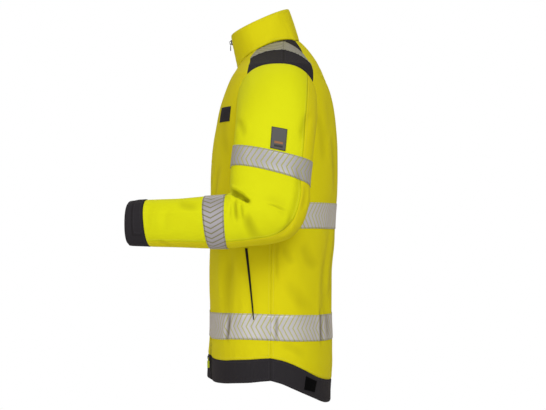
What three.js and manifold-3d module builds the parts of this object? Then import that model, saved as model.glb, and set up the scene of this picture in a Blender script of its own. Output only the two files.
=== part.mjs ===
// Hi-vis work jacket in its worn shape: a hollow body, two bent sleeves and a stand-up collar.
// Millimetres, +X towards the wearer's left, +Y towards the back, +Z up.
// The origin is the middle of the base of the neck, where the wearer's shoulders hold the jacket.
import * as THREE from "three";
import { mergeVertices } from "three/addons/utils/BufferGeometryUtils.js";
import Module from "manifold-3d";

// Cloth and seams
const CLOTH = 1.8;
const COLLAR_CLOTH = 3;
const CUFF_CLOTH = 2.2;
const TAPE = 0.8;
const TRIM = 1;
const SEAM = 0.3;
const TRIM_LIFT = 0.45;
const BADGE_LIFT = 0.85;

// Horizontal sections of the body: the depth of the front and the back, half the width, the depth of
// the widest point and the power of the superellipse.
const BODY = [
  { z: 10, front: -36, back: 50, half: 60, side: 21, power: 2 },
  { z: 6.5, front: -38, back: 54, half: 69, side: 21, power: 2 },
  { z: 0, front: -42, back: 61, half: 84, side: 21, power: 2 },
  { z: -10, front: -48.5, back: 70.5, half: 106, side: 21, power: 2 },
  { z: -22, front: -56, back: 79.6, half: 132, side: 21, power: 2.05 },
  { z: -38, front: -66, back: 89.8, half: 167, side: 20, power: 2.1 },
  { z: -48, front: -72, back: 94.5, half: 189, side: 20, power: 2.15 },
  { z: -55, front: -76, back: 97.9, half: 204, side: 20, power: 2.2 },
  { z: -71, front: -85.4, back: 104, half: 209, side: 16, power: 2.4 },
  { z: -104, front: -98.8, back: 117, half: 206, side: 12, power: 2.5 },
  { z: -136, front: -108.8, back: 124, half: 202, side: 10, power: 2.5 },
  { z: -169, front: -115.2, back: 128, half: 199, side: 9, power: 2.45 },
  { z: -215, front: -122.4, back: 131, half: 197, side: 8, power: 2.4 },
  { z: -260, front: -125.3, back: 131.4, half: 196, side: 4, power: 2.35 },
  { z: -300, front: -126.5, back: 130.6, half: 196, side: 1, power: 2.35 },
  { z: -347, front: -127.2, back: 127, half: 196, side: -1, power: 2.35 },
  { z: -400, front: -128, back: 124.4, half: 196, side: -2, power: 2.35 },
  { z: -463, front: -128.5, back: 118.3, half: 195.5, side: -3.5, power: 2.35 },
  { z: -544, front: -127.5, back: 118.3, half: 195, side: -4, power: 2.35 },
  { z: -594, front: -125, back: 120.4, half: 195, side: -4, power: 2.35 },
  { z: -640, front: -124, back: 120.2, half: 195, side: -4, power: 2.35 },
  { z: -675, front: -123, back: 118, half: 195, side: -4, power: 2.35 },
  { z: -725, front: -122, back: 116.5, half: 195, side: -4, power: 2.35 },
];

// Heights of the level lines round the body. turn is 0 at the front edge, 90 at the side and 180 at
// the middle of the back.
const LEVELS = [
  { turn: 0, hem: -682, hemTop: -633, waist: -595, waistTop: -543, chest: -374, chestTop: -324 },
  { turn: 44, hem: -674, hemTop: -629, waist: -588, waistTop: -536.5, chest: -371, chestTop: -321.5 },
  { turn: 57, hem: -670.5, hemTop: -625.5, waist: -585, waistTop: -535, chest: -371, chestTop: -321 },
  { turn: 72, hem: -667.5, hemTop: -623, waist: -584.5, waistTop: -534.5, chest: -370.5, chestTop: -321 },
  { turn: 90, hem: -663.4, hemTop: -620, waist: -585.5, waistTop: -535.8, chest: -370.5, chestTop: -321 },
  { turn: 106, hem: -676, hemTop: -629.7, waist: -587.5, waistTop: -537, chest: -371, chestTop: -321 },
  { turn: 123, hem: -693, hemTop: -647.8, waist: -589, waistTop: -538.5, chest: -371, chestTop: -321 },
  { turn: 133, hem: -703, hemTop: -659.3, waist: -590.5, waistTop: -540, chest: -371.5, chestTop: -321.5 },
  { turn: 148, hem: -715, hemTop: -669.5, waist: -592, waistTop: -541.5, chest: -373, chestTop: -322.5 },
  { turn: 180, hem: -722.5, hemTop: -679, waist: -594, waistTop: -543.5, chest: -374.5, chestTop: -324 },
];

// Largest soft folds of the body: turn and height of the middle, half the width in degrees, half the
// height, the lean in degrees of turn for each 100 mm up, and how far the fold stands out.
const BODY_FOLDS = [
  { turn: 41, z: -455, wide: 5, tall: 95, lean: -2, rise: 3.5 },
  { turn: 50, z: -440, wide: 4.5, tall: 80, lean: -3, rise: -3.5 },
  { turn: 60, z: -480, wide: 6, tall: 110, lean: 3, rise: 3 },
  { turn: 148, z: -450, wide: 6, tall: 120, lean: 3, rise: -4 },
  { turn: 158, z: -500, wide: 6, tall: 110, lean: 2, rise: 3 },
  { turn: 110, z: -470, wide: 8, tall: 90, lean: -4, rise: 3 },
  { turn: -44, z: -470, wide: 5, tall: 100, lean: 2, rise: 3.5 },
  { turn: -54, z: -450, wide: 5, tall: 85, lean: 3, rise: -3.5 },
  { turn: -152, z: -460, wide: 7, tall: 110, lean: -3, rise: -3.5 },
  { turn: -113, z: -480, wide: 8, tall: 95, lean: 4, rise: 3 },
  { turn: -13, z: -700, wide: 11, tall: 120, lean: 0, rise: 15 },
];
// The step for slopes, the height where widths are compared and the samples taken round the body there
const SLOPE_STEP = 0.5;
const MIDDLE_LEVEL = -400;
const TURN_SAMPLES = 200;

// Neck line, from the front edge round the side to the middle of the back
const NECK_FRONT = { x: 0, z: -48 };
const NECK_BEND_LOW = { x: 30, z: -43.5 };
const NECK_BEND_HIGH = { x: 58, z: -31 };
const NECK_YOKE_FRONT = { y: -32, z: -17 };
const NECK_SIDE_FRONT = { y: -12, z: -7.6 };
const NECK_SIDE = { y: 8, z: 0.3 };
const NECK_SHOULDER = { y: 21, z: 3.2 };
const NECK_SIDE_BACK = { y: 36, z: 4.3 };
const NECK_YOKE_BACK = { y: 45, z: 2.6 };
const NECK_BEND_BACK = { x: 32, z: 5.6 };
const NECK_BACK = { x: 0, z: 6.5 };

// Armhole, seen from the side: an oval whose angle is 0 at the front, 90 at the top, 180 at the back
const ARMHOLE = { y: 8, z: -136, halfDepth: 78, rise: 81, drop: 79, power: 2.5 };
const ARMPIT_LEVEL = ARMHOLE.z - ARMHOLE.drop;
// Angles round the armhole and the sleeve where seams meet it
const INNER_SEAM = -30;
const FRONT_CORNER = 46;
const SHOULDER = 96;
const OUTER_SEAM = 135;
const BACK_CORNER = 150;
const ARMPIT = 270;

// Seams of the shoulder, seen from the side or from behind
const FRONT_YOKE_SEAM = [
  { y: -44.4, z: -36 },
  { y: -46.5, z: -51 },
];
const BACK_YOKE_SEAM = [
  { y: 55, z: -15 },
  { y: 63, z: -37 },
  { y: 77.6, z: -60.6 },
];
const V_SEAM = [
  { x: 129, z: -71 },
  { x: 85, z: -80 },
  { x: 0, z: -84 },
];
// Columns of the dark yokes as shares of each seam's length. The stripe lies from column 2 to 4, and
// the V seam meets the back seam at column 4.
const SHOULDER_SHARES = [0, 0.04, 0.08, 0.26, 0.44, 0.63, 0.82, 1];
const FRONT_SHARES = [0, 0.035, 0.07, 0.2, 0.34, 0.56, 0.78, 1];
const BACK_SHARES = [0, 0.26, 0.5, 0.61, 0.72, 0.81, 0.9, 1];
const STRIPE_FROM = 2;
const STRIPE_TO = 4;

// Collar: the top edge is a level oval tilted forwards
const COLLAR_FRONT = { y: -85.7, z: 18.8 };
const COLLAR_BACK = { y: 33, z: 71.6 };
const COLLAR_HALF_WIDTH = 74;
const COLLAR_POWER = 2.2;
const COLLAR_ROWS = 4;

// Sleeve rings: the front (or inner elbow) point and the back (or outer elbow) point seen from the
// side, the distance of the middle from the body's centre plane and half the thickness.
const RINGS = [
  { name: "armTapeTop", frontY: -74.8, frontZ: -215.8, backY: 73.7, backZ: -247, x: 250, thick: 50 },
  { name: "armTapeLow", frontY: -79.2, frontZ: -255.8, backY: 69.1, backZ: -293.3, x: 256, thick: 50 },
  { name: "aboveElbow", frontY: -80.6, frontZ: -283, backY: 69, backZ: -314.8, x: 266, thick: 50 },
  { name: "elbow1", frontY: -79.8, frontZ: -298, backY: 64.5, backZ: -337.2, x: 274, thick: 49 },
  { name: "elbow2", frontY: -79.3, frontZ: -301.2, backY: 52.1, backZ: -367, x: 279, thick: 48.5 },
  { name: "elbow3", frontY: -80, frontZ: -303.3, backY: 27.9, backZ: -389.6, x: 282, thick: 48 },
  { name: "elbow4", frontY: -81.4, frontZ: -304.4, backY: -9.3, backZ: -399.6, x: 283, thick: 47 },
  { name: "elbow5", frontY: -83.7, frontZ: -305.2, backY: -46.5, backZ: -403, x: 283, thick: 45.5 },
  { name: "foreTapeNear", frontY: -86.4, frontZ: -306.6, backY: -82.6, backZ: -406.9, x: 281, thick: 44 },
  { name: "foreTapeFar", frontY: -125.8, frontZ: -309.6, backY: -114.5, backZ: -407.1, x: 276, thick: 42 },
  { name: "foreMiddle", frontY: -179.8, frontZ: -314.2, backY: -177, backZ: -405.4, x: 262, thick: 38 },
  { name: "foreLow", frontY: -212.2, frontZ: -315.3, backY: -206.6, backZ: -404.9, x: 254, thick: 36 },
  { name: "cuffSeam", frontY: -236.8, frontZ: -316.2, backY: -227.8, backZ: -404.5, x: 247, thick: 34.5 },
  { name: "cuffEnd", frontY: -271.1, frontZ: -318.1, backY: -271.1, backZ: -403.4, x: 237, thick: 33 },
];
const RING_POWER = 2.3;
// The cap of the sleeve leaves the armhole along this direction
const CAP_START = new THREE.Vector3(0.87, 0, -0.5);
const CAP_SHARES = [0, 0.12, 0.28, 0.46, 0.65, 0.83];
const CUFF_SHARES = [0.04, 0.57, 1];
const CUFF_TAB_ROWS = [1, 2];

// Rows and columns of the panels
const FRONT_COLUMNS = 12;
const NECK_COLUMNS = FRONT_COLUMNS - (SHOULDER_SHARES.length - 1);
const BACK_HALF_COLUMNS = 12;
const V_COLUMNS = BACK_HALF_COLUMNS - (SHOULDER_SHARES.length - 1 - STRIPE_TO);
const YOKE_ROWS = 3;
const ARMHOLE_STEPS = [
  { from: INNER_SEAM, to: FRONT_CORNER, steps: 5 },
  { from: FRONT_CORNER, to: SHOULDER, steps: YOKE_ROWS },
  { from: SHOULDER, to: OUTER_SEAM, steps: YOKE_ROWS - 1 },
  { from: OUTER_SEAM, to: BACK_CORNER, steps: 1 },
  { from: BACK_CORNER, to: ARMPIT, steps: 7 },
  { from: ARMPIT, to: 360 + INNER_SEAM, steps: 3 },
];
const ROWS_UP = { hemTop: 1, waist: 1, waistTop: 6, chest: 1, chestTop: 4 };

// Closures and trim
const ZIP_HALF = 5;
// Points of the neck line nearer the middle than this are on the zip's edge
const ZIP_EDGE = ZIP_HALF + 1;
const POCKET_ZIP = { topY: -51, topZ: -410, lowY: -37.5, lowZ: -534, width: 5, rows: 6 };
const HEM_PATCH = [
  { y: 63.5, z: -656.5 },
  { y: 84.7, z: -669 },
  { y: 80.4, z: -689.5 },
  { y: 60, z: -682 },
];
const CHEST_PATCH = { left: 96, right: 150, top: -134, low: -163 };
const BADGE = { angleFrom: 86.5, angleTo: 104, shareTop: 0.78, shareLow: 0.985, rows: 4, columns: 3 };

// Zip sliders and their hanging pulls. The pull's top bar turns inside the slider's bridge.
const SLIDER = { width: 9, length: 10.5, thick: 2.4, corner: 3 };
const BRIDGE = { width: 3, length: 6.6, wall: 0.9, holeDepth: 2.2, holeLength: 4.6, sunk: 0.5 };
const PULL = {
  bar: 1,
  window: 4.8,
  windowWidth: 4,
  legs: 1.4,
  drop: 1.4,
  root: 2,
  step: 0.6,
  corner: 1.6,
};
const UPPER_ZIP = { share: 0.8, grip: { width: 5.2, length: 9, thick: 1.6 }, finish: "metal" };
const LOWER_ZIP = { z: -636.5, grip: { width: 8, length: 14, thick: 4.4 }, finish: "pull" };

// Colours, roughness and metalness of the materials
const FINISH = {
  yellow: { color: 0xd2d216, roughness: 0.85 },
  charcoal: { color: 0x3c3a3e, roughness: 0.85 },
  silver: { color: 0xb4b0ae, roughness: 0.45 },
  hook: { color: 0x151416, roughness: 0.95 },
  zip: { color: 0x1c1b1a, roughness: 0.6 },
  metal: { color: 0x2b2b2d, roughness: 0.4, metalness: 0.6 },
  pull: { color: 0xcfe01a, roughness: 0.5 },
  badge: { color: 0x5a5a5a, roughness: 0.7 },
};

// Angles and points nearer than these are one
const SAME_ANGLE = 1e-6;
const SAME_POINT = 1e-4;

const wasm = await Module();
wasm.setup();

const jacket = new THREE.Group();

function lerp(a, b, t) {
  return a + (b - a) * t;
}

function radians(degrees) {
  return (degrees * Math.PI) / 180;
}

function signedPower(value, power) {
  return Math.sign(value) * Math.abs(value) ** power;
}

// A smooth curve through the points of a table that never swings past them.
function monotoneCurve(xs, ys) {
  const steps = xs.slice(1).map((x, i) => x - xs[i]);
  const slopes = steps.map((h, i) => (ys[i + 1] - ys[i]) / h);
  const last = xs.length - 1;
  const tangents = xs.map((_, i) => {
    if (i === 0) return slopes[0];
    if (i === last) return slopes[last - 1];
    const before = slopes[i - 1];
    const after = slopes[i];
    if (before * after <= 0) return 0;
    const first = 2 * steps[i] + steps[i - 1];
    const second = steps[i] + 2 * steps[i - 1];
    return (first + second) / (first / before + second / after);
  });
  return (x) => {
    let i = 0;
    while (i < last - 1 && x > xs[i + 1]) i += 1;
    const t = Math.min(1, Math.max(0, (x - xs[i]) / steps[i]));
    const rise = t * t * (3 - 2 * t);
    const out = t * (1 - t) * (1 - t) * steps[i] * tangents[i];
    const back = t * t * (t - 1) * steps[i] * tangents[i + 1];
    return ys[i] + (ys[i + 1] - ys[i]) * rise + out + back;
  };
}

// Smooth curves through each column of a table, looked up by the named column.
function smoothTable(rows, key) {
  const sorted = [...rows].sort((a, b) => a[key] - b[key]);
  const xs = sorted.map((row) => row[key]);
  const names = Object.keys(rows[0]).filter((name) => name !== key);
  const curves = names.map((name) => monotoneCurve(xs, sorted.map((row) => row[name])));
  return (x) => Object.fromEntries(names.map((name, i) => [name, curves[i](x)]));
}

const sectionAt = smoothTable(BODY, "z");
const levelsAt = smoothTable(LEVELS, "turn");

// How far out a point is in the body's section at its height: 1 is on the surface.
function reach(x, y, z) {
  const s = sectionAt(z);
  const depth = y < s.side ? s.side - s.front : s.back - s.side;
  return (Math.abs(x / s.half) ** s.power + Math.abs((y - s.side) / depth) ** s.power) ** (1 / s.power);
}

// The body's outward direction at a point, from the slope of reach.
function bodyNormal(p) {
  return new THREE.Vector3(
    reach(p.x + SLOPE_STEP, p.y, p.z) - reach(p.x - SLOPE_STEP, p.y, p.z),
    reach(p.x, p.y + SLOPE_STEP, p.z) - reach(p.x, p.y - SLOPE_STEP, p.z),
    reach(p.x, p.y, p.z + SLOPE_STEP) - reach(p.x, p.y, p.z - SLOPE_STEP),
  ).normalize();
}

// Where a point lies round the body, in degrees: 0 is the front and positive is the left side.
function turnOf(p) {
  const s = sectionAt(p.z);
  const depth = p.y < s.side ? s.side - s.front : s.back - s.side;
  return (Math.atan2(p.x / s.half, (s.side - p.y) / depth) * 180) / Math.PI;
}

function foldAt(p) {
  const turn = turnOf(p);
  return BODY_FOLDS.reduce((sum, fold) => {
    const across = (turn - fold.turn - (fold.lean * (p.z - fold.z)) / 100) / fold.wide;
    const along = (p.z - fold.z) / fold.tall;
    return sum + fold.rise * Math.exp(-across * across - along * along);
  }, 0);
}

// Moves a point level to the body's surface, then out by its fold and by lift.
function onBody(p, lift = 0) {
  const s = sectionAt(p.z);
  const r = reach(p.x, p.y, p.z);
  const q = new THREE.Vector3(p.x / r, s.side + (p.y - s.side) / r, p.z);
  const normal = bodyNormal(q);
  return q.addScaledVector(normal, foldAt(q) + lift);
}

// Points of the plain body surface by height and depth, by width and height, or by height and turn
function sidePoint({ y, z }, side = 1) {
  const s = sectionAt(z);
  const depth = y < s.side ? s.side - s.front : s.back - s.side;
  const share = Math.abs((y - s.side) / depth) ** s.power;
  return new THREE.Vector3(side * s.half * Math.max(0, 1 - share) ** (1 / s.power), y, z);
}

function facePoint({ x, z }, back, side = 1) {
  const s = sectionAt(z);
  const depth = back ? s.back - s.side : s.front - s.side;
  const share = (1 - Math.abs(x / s.half) ** s.power) ** (1 / s.power);
  return new THREE.Vector3(side * x, s.side + depth * share, z);
}

function turnPoint(turn, z) {
  const s = sectionAt(z);
  const across = Math.sin(radians(turn));
  const ahead = Math.cos(radians(turn));
  const depth = ahead > 0 ? s.side - s.front : s.back - s.side;
  const r = (Math.abs(across) ** s.power + Math.abs(ahead) ** s.power) ** (-1 / s.power);
  return new THREE.Vector3(across * r * s.half, s.side - ahead * r * depth, z);
}

function armholePoint(angle, side) {
  const across = signedPower(Math.cos(radians(angle)), 2 / ARMHOLE.power);
  const up = signedPower(Math.sin(radians(angle)), 2 / ARMHOLE.power);
  const y = ARMHOLE.y - ARMHOLE.halfDepth * across;
  const z = ARMHOLE.z + (up > 0 ? ARMHOLE.rise : ARMHOLE.drop) * up;
  return sidePoint({ y, z }, side);
}

// Points at given shares of the length of a smooth curve through others
function along(points, shares) {
  const curve = new THREE.CatmullRomCurve3(points, false, "centripetal");
  return shares.map((share) => curve.getPointAt(share));
}

function evenShares(steps) {
  return Array.from({ length: steps + 1 }, (_, i) => i / steps);
}

// Shares of the length of a row of points at each point
function lengthShares(points) {
  const sums = [0];
  for (let i = 1; i < points.length; i += 1) sums.push(sums[i - 1] + points[i].distanceTo(points[i - 1]));
  return sums.map((sum) => sum / sums[sums.length - 1]);
}

// A patch between four rows of points: each point blends its row's and its column's ends.
function blendedGrid(low, high, left, right) {
  const lowShares = lengthShares(low);
  const highShares = lengthShares(high);
  const leftShares = lengthShares(left);
  const rightShares = lengthShares(right);
  return left.map((leftPoint, i) =>
    low.map((lowPoint, j) => {
      const t0 = lerp(leftShares[i], rightShares[i], j / (low.length - 1));
      const s = lerp(lowShares[j], highShares[j], t0);
      const t = lerp(leftShares[i], rightShares[i], s);
      const corners = low[0].clone().multiplyScalar((1 - s) * (1 - t));
      corners.addScaledVector(low[low.length - 1], s * (1 - t));
      corners.addScaledVector(high[0], (1 - s) * t);
      corners.addScaledVector(high[high.length - 1], s * t);
      const p = lowPoint.clone().lerp(high[j], t);
      return p.add(leftPoint.clone().lerp(right[i], s)).sub(corners);
    }),
  );
}

// Angles round the armhole and the sleeve, from the inner seam
function sleeveAngles() {
  return ARMHOLE_STEPS.flatMap(({ from, to, steps }) =>
    evenShares(steps).slice(0, -1).map((share) => lerp(from, to, share)),
  );
}

// The sampled seams of one side of the jacket. side is 1 for the wearer's left, -1 for the right.
function seamsOf(side) {
  const angles = sleeveAngles();
  const armhole = (from, to) =>
    [...angles, ...angles.map((a) => a + 360), 720 + INNER_SEAM]
      .filter((a) => a >= from - SAME_ANGLE && a <= to + SAME_ANGLE)
      .map((a) => armholePoint(a, side));
  const corner = sidePoint(NECK_YOKE_FRONT, side);
  const shoulderNeck = sidePoint(NECK_SHOULDER, side);
  const backCorner = sidePoint(NECK_YOKE_BACK, side);
  const neckFront = along(
    [
      facePoint({ x: ZIP_HALF, z: NECK_FRONT.z }, false, side),
      facePoint(NECK_BEND_LOW, false, side),
      facePoint(NECK_BEND_HIGH, false, side),
      corner,
    ],
    evenShares(NECK_COLUMNS),
  );
  const neckYokeFront = along(
    [corner, sidePoint(NECK_SIDE_FRONT, side), sidePoint(NECK_SIDE, side), shoulderNeck],
    evenShares(YOKE_ROWS),
  );
  const neckYokeBack = along(
    [shoulderNeck, sidePoint(NECK_SIDE_BACK, side), backCorner],
    evenShares(YOKE_ROWS),
  );
  const neckBack = along(
    [backCorner, facePoint(NECK_BEND_BACK, true, side), facePoint(NECK_BACK, true, side)],
    evenShares(V_COLUMNS),
  );
  const shoulderTop = armholePoint(SHOULDER, side);
  const ridge = [0, 0.25, 0.5, 0.75, 1].map((share) => {
    const z = lerp(NECK_SHOULDER.z, shoulderTop.z, share);
    return sidePoint({ y: lerp(NECK_SHOULDER.y, shoulderTop.y, share), z }, side);
  });
  const frontSeam = along(
    [corner, ...FRONT_YOKE_SEAM.map((p) => sidePoint(p, side)), armholePoint(FRONT_CORNER, side)],
    FRONT_SHARES,
  );
  const backSeam = along(
    [backCorner, ...BACK_YOKE_SEAM.map((p) => sidePoint(p, side)), armholePoint(BACK_CORNER, side)],
    BACK_SHARES,
  );
  const vSeam = along(
    [backSeam[STRIPE_TO], ...V_SEAM.map((p) => facePoint(p, true, side))],
    evenShares(V_COLUMNS),
  );
  return {
    armhole,
    neckFront,
    neckYokeFront,
    neckYokeBack,
    neckBack,
    shoulder: along(ridge, SHOULDER_SHARES),
    frontSeam,
    backSeam,
    vSeam,
  };
}

// A grid of surface points with the outward direction at each
function bodyGrid(points) {
  return points.map((row) =>
    row.map((p) => {
      const q = onBody(p);
      return { point: q, normal: bodyNormal(q) };
    }),
  );
}

// Pulls the edges of a grid inwards, along the surface and square to the edge, by half a seam or by
// another distance.
function withSeams(grid, edges, distance = SEAM / 2) {
  const rows = grid.length - 1;
  const columns = grid[0].length - 1;
  const moves = grid.map((row) => row.map(() => new THREE.Vector3()));
  const pull = (i, j, i2, j2, before, after) => {
    const tangent = after.clone().sub(before).normalize();
    const inwards = grid[i2][j2].point.clone().sub(grid[i][j].point);
    inwards.addScaledVector(tangent, -inwards.dot(tangent)).normalize();
    moves[i][j].addScaledVector(inwards, distance);
  };
  for (let i = 0; i <= rows; i += 1) {
    const above = grid[Math.min(rows, i + 1)];
    const below = grid[Math.max(0, i - 1)];
    if (edges.left) pull(i, 0, i, 1, below[0].point, above[0].point);
    if (edges.right) pull(i, columns, i, columns - 1, below[columns].point, above[columns].point);
  }
  for (let j = 0; j <= columns; j += 1) {
    const after = Math.min(columns, j + 1);
    const before = Math.max(0, j - 1);
    if (edges.low) pull(0, j, 1, j, grid[0][before].point, grid[0][after].point);
    if (edges.high) pull(rows, j, rows - 1, j, grid[rows][before].point, grid[rows][after].point);
  }
  return grid.map((row, i) =>
    row.map(({ point, normal }, j) => ({ point: point.clone().add(moves[i][j]), normal })),
  );
}

// A closed wall between two offsets of a grid: outer and inner skins joined round the edges, or
// joined only at its two ends where the grid's rows are closed rings.
function wall(grid, outerLift, innerLift, closed = false) {
  const rows = grid.length;
  const columns = grid[0].length;
  const skins = [outerLift, innerLift].map((lift) =>
    grid.flatMap((row) => row.map(({ point, normal }) => point.clone().addScaledVector(normal, lift))),
  );
  const positions = new Float32Array(skins.flat().flatMap((p) => p.toArray()));
  const index = [];
  const at = (skin, i, j) => skin * rows * columns + i * columns + (j % columns);
  const quad = (a, b, c, d) => index.push(a, b, c, a, c, d);
  const lastColumn = closed ? columns : columns - 1;
  for (let j = 0; j < lastColumn; j += 1) {
    for (let i = 0; i < rows - 1; i += 1) {
      quad(at(0, i, j), at(0, i, j + 1), at(0, i + 1, j + 1), at(0, i + 1, j));
      index.push(at(1, i, j), at(1, i + 1, j + 1), at(1, i, j + 1));
      index.push(at(1, i, j), at(1, i + 1, j), at(1, i + 1, j + 1));
    }
    quad(at(0, 0, j), at(1, 0, j), at(1, 0, j + 1), at(0, 0, j + 1));
    quad(at(0, rows - 1, j), at(0, rows - 1, j + 1), at(1, rows - 1, j + 1), at(1, rows - 1, j));
  }
  if (!closed) {
    for (let i = 0; i < rows - 1; i += 1) {
      const end = columns - 1;
      quad(at(0, i, 0), at(0, i + 1, 0), at(1, i + 1, 0), at(1, i, 0));
      quad(at(0, i, end), at(1, i, end), at(1, i + 1, end), at(0, i + 1, end));
    }
  }
  const geometry = new THREE.BufferGeometry();
  geometry.setAttribute("position", new THREE.BufferAttribute(positions, 3));
  geometry.setIndex(signedVolume(positions, index) < 0 ? reversed(index) : index);
  return geometry;
}

function signedVolume(positions, index) {
  const corners = [0, 1, 2].map(() => new THREE.Vector3());
  let sum = 0;
  for (let k = 0; k < index.length; k += 3) {
    corners.forEach((corner, n) => corner.fromArray(positions, 3 * index[k + n]));
    sum += corners[0].dot(corners[1].cross(corners[2])) / 6;
  }
  return sum;
}

function reversed(index) {
  const turned = [];
  for (let k = 0; k < index.length; k += 3) turned.push(index[k], index[k + 2], index[k + 1]);
  return turned;
}

function addPiece(name, finish, geometry, group = jacket) {
  const mesh = new THREE.Mesh(geometry, new THREE.MeshStandardMaterial({ metalness: 0, ...FINISH[finish] }));
  mesh.name = name;
  group.add(mesh);
  return mesh;
}

// Cloth whose outer face is the grid
function addCloth(name, finish, grid, thickness = CLOTH, closed = false) {
  addPiece(name, finish, wall(grid, 0, -thickness, closed));
}

// A strip that lies on a panel, made from the panel's own points moved out
function addTape(name, grid, rowFrom, rowTo, closed = false, finish = "silver") {
  addPiece(name, finish, wall(grid.slice(rowFrom, rowTo + 1), SEAM + TAPE, SEAM, closed));
}

function sideName(side) {
  return side > 0 ? "left" : "right";
}

// Turns at even distances round the body at mid height, between two turns
function evenTurns(from, to, columns) {
  const turns = evenShares(TURN_SAMPLES).map((share) => lerp(from, to, share));
  const shares = lengthShares(turns.map((turn) => turnPoint(turn, MIDDLE_LEVEL)));
  const curve = monotoneCurve(shares, turns);
  return evenShares(columns).map((share) => curve(share));
}

// The heights of the level lines at each turn
function levelsOf(turns) {
  return turns.map((turn) => ({
    ...levelsAt(Math.abs(turn > 180 ? turn - 360 : turn)),
    armpit: ARMPIT_LEVEL,
  }));
}

// Rows of the body below the armpit, for a list of turns. Each level starts the rows of its band.
function lowerRows(turns) {
  const heights = levelsOf(turns);
  const names = [...Object.keys(ROWS_UP), "armpit"];
  return Object.entries(ROWS_UP).flatMap(([name, count], k) =>
    evenShares(count).slice(0, -1).map((share) =>
      turns.map((turn, j) => turnPoint(turn, lerp(heights[j][name], heights[j][names[k + 1]], share))),
    ),
  );
}

const WAIST_ROWS = [ROWS_UP.hemTop, ROWS_UP.hemTop + ROWS_UP.waist];
const CHEST_ROW = WAIST_ROWS[1] + ROWS_UP.waistTop;
const CHEST_ROWS = [CHEST_ROW, CHEST_ROW + ROWS_UP.chest];

function hemRows(turns) {
  const heights = levelsOf(turns);
  return ["hem", "hemTop"].map((name) => turns.map((turn, j) => turnPoint(turn, heights[j][name])));
}

// The front edge is straight and level with the zip, so its turn depends on the width there.
function frontTurns(side) {
  const edge = (Math.asin(ZIP_HALF / sectionAt(MIDDLE_LEVEL).half) * 180) / Math.PI;
  return evenTurns(edge, 90, FRONT_COLUMNS).map((turn) => side * turn);
}

function buildFront(side, seams) {
  const turns = frontTurns(side);
  const low = turns.map((turn) => turnPoint(turn, ARMPIT_LEVEL));
  const high = [...seams.neckFront, ...seams.frontSeam.slice(1)];
  const edge = seams.armhole(ARMPIT, 360 + FRONT_CORNER);
  const zipEdge = evenShares(edge.length - 1).map((share) =>
    facePoint({ x: ZIP_HALF, z: lerp(ARMPIT_LEVEL, NECK_FRONT.z, share) }, false, side),
  );
  const rows = [...lowerRows(turns), ...blendedGrid(low, high, zipEdge, edge)];
  const grid = withSeams(bodyGrid(rows), { left: true, right: true, low: true, high: true });
  const hem = withSeams(bodyGrid(hemRows(turns)), { left: true, right: true, high: true });
  const name = sideName(side);
  addCloth(`front_${name}`, "yellow", grid);
  addTape(`waist_tape_front_${name}`, grid, ...WAIST_ROWS);
  addTape(`chest_tape_front_${name}`, grid, ...CHEST_ROWS);
  addCloth(`hem_front_${name}`, "charcoal", hem);
  return [...hem.slice(0, 1), ...grid].map((row) => row[0]);
}

function buildBack(left, right) {
  const half = evenTurns(90, 180, BACK_HALF_COLUMNS);
  const turns = [...half, ...half.slice(0, -1).reverse().map((turn) => 360 - turn)];
  const low = turns.map((turn) => turnPoint(turn, ARMPIT_LEVEL));
  const corner = (seams) => seams.backSeam.slice(STRIPE_TO + 1).reverse();
  const high = [
    ...corner(left),
    ...left.vSeam,
    ...right.vSeam.slice(0, -1).reverse(),
    ...corner(right).reverse(),
  ];
  const edges = [left, right].map((seams) => seams.armhole(BACK_CORNER, ARMPIT).reverse());
  const rows = [...lowerRows(turns), ...blendedGrid(low, high, ...edges)];
  const grid = withSeams(bodyGrid(rows), { left: true, right: true, low: true, high: true });
  addCloth("back_panel", "yellow", grid);
  addTape("waist_tape_back", grid, ...WAIST_ROWS);
  addTape("chest_tape_back", grid, ...CHEST_ROWS);
  const hem = withSeams(bodyGrid(hemRows(turns)), { left: true, right: true, high: true });
  addCloth("hem_back", "charcoal", hem);
}

function buildBackYoke(left, right) {
  const low = [...left.vSeam, ...right.vSeam.slice(0, -1).reverse()];
  const high = [...left.neckBack, ...right.neckBack.slice(0, -1).reverse()];
  const edges = [left, right].map((seams) => seams.backSeam.slice(0, STRIPE_TO + 1).reverse());
  const grid = bodyGrid(blendedGrid(low, high, ...edges));
  addCloth("back_yoke", "yellow", withSeams(grid, { left: true, right: true, low: true, high: true }));
}

function buildYokes(side, seams) {
  const all = { left: true, right: true, low: true, high: true };
  const front = blendedGrid(
    seams.frontSeam,
    seams.shoulder,
    seams.neckYokeFront,
    seams.armhole(FRONT_CORNER, SHOULDER),
  );
  const back = blendedGrid(
    seams.shoulder,
    seams.backSeam,
    seams.neckYokeBack,
    seams.armhole(SHOULDER, BACK_CORNER),
  );
  const pieces = { front, back };
  Object.entries(pieces).forEach(([place, points]) => {
    const grid = withSeams(bodyGrid(points), all);
    const stripe = grid.map((row) => row.slice(STRIPE_FROM, STRIPE_TO + 1));
    addCloth(`yoke_${place}_${sideName(side)}`, "charcoal", grid);
    addTape(`shoulder_stripe_${place}_${sideName(side)}`, stripe, 0, YOKE_ROWS);
  });
}

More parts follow.
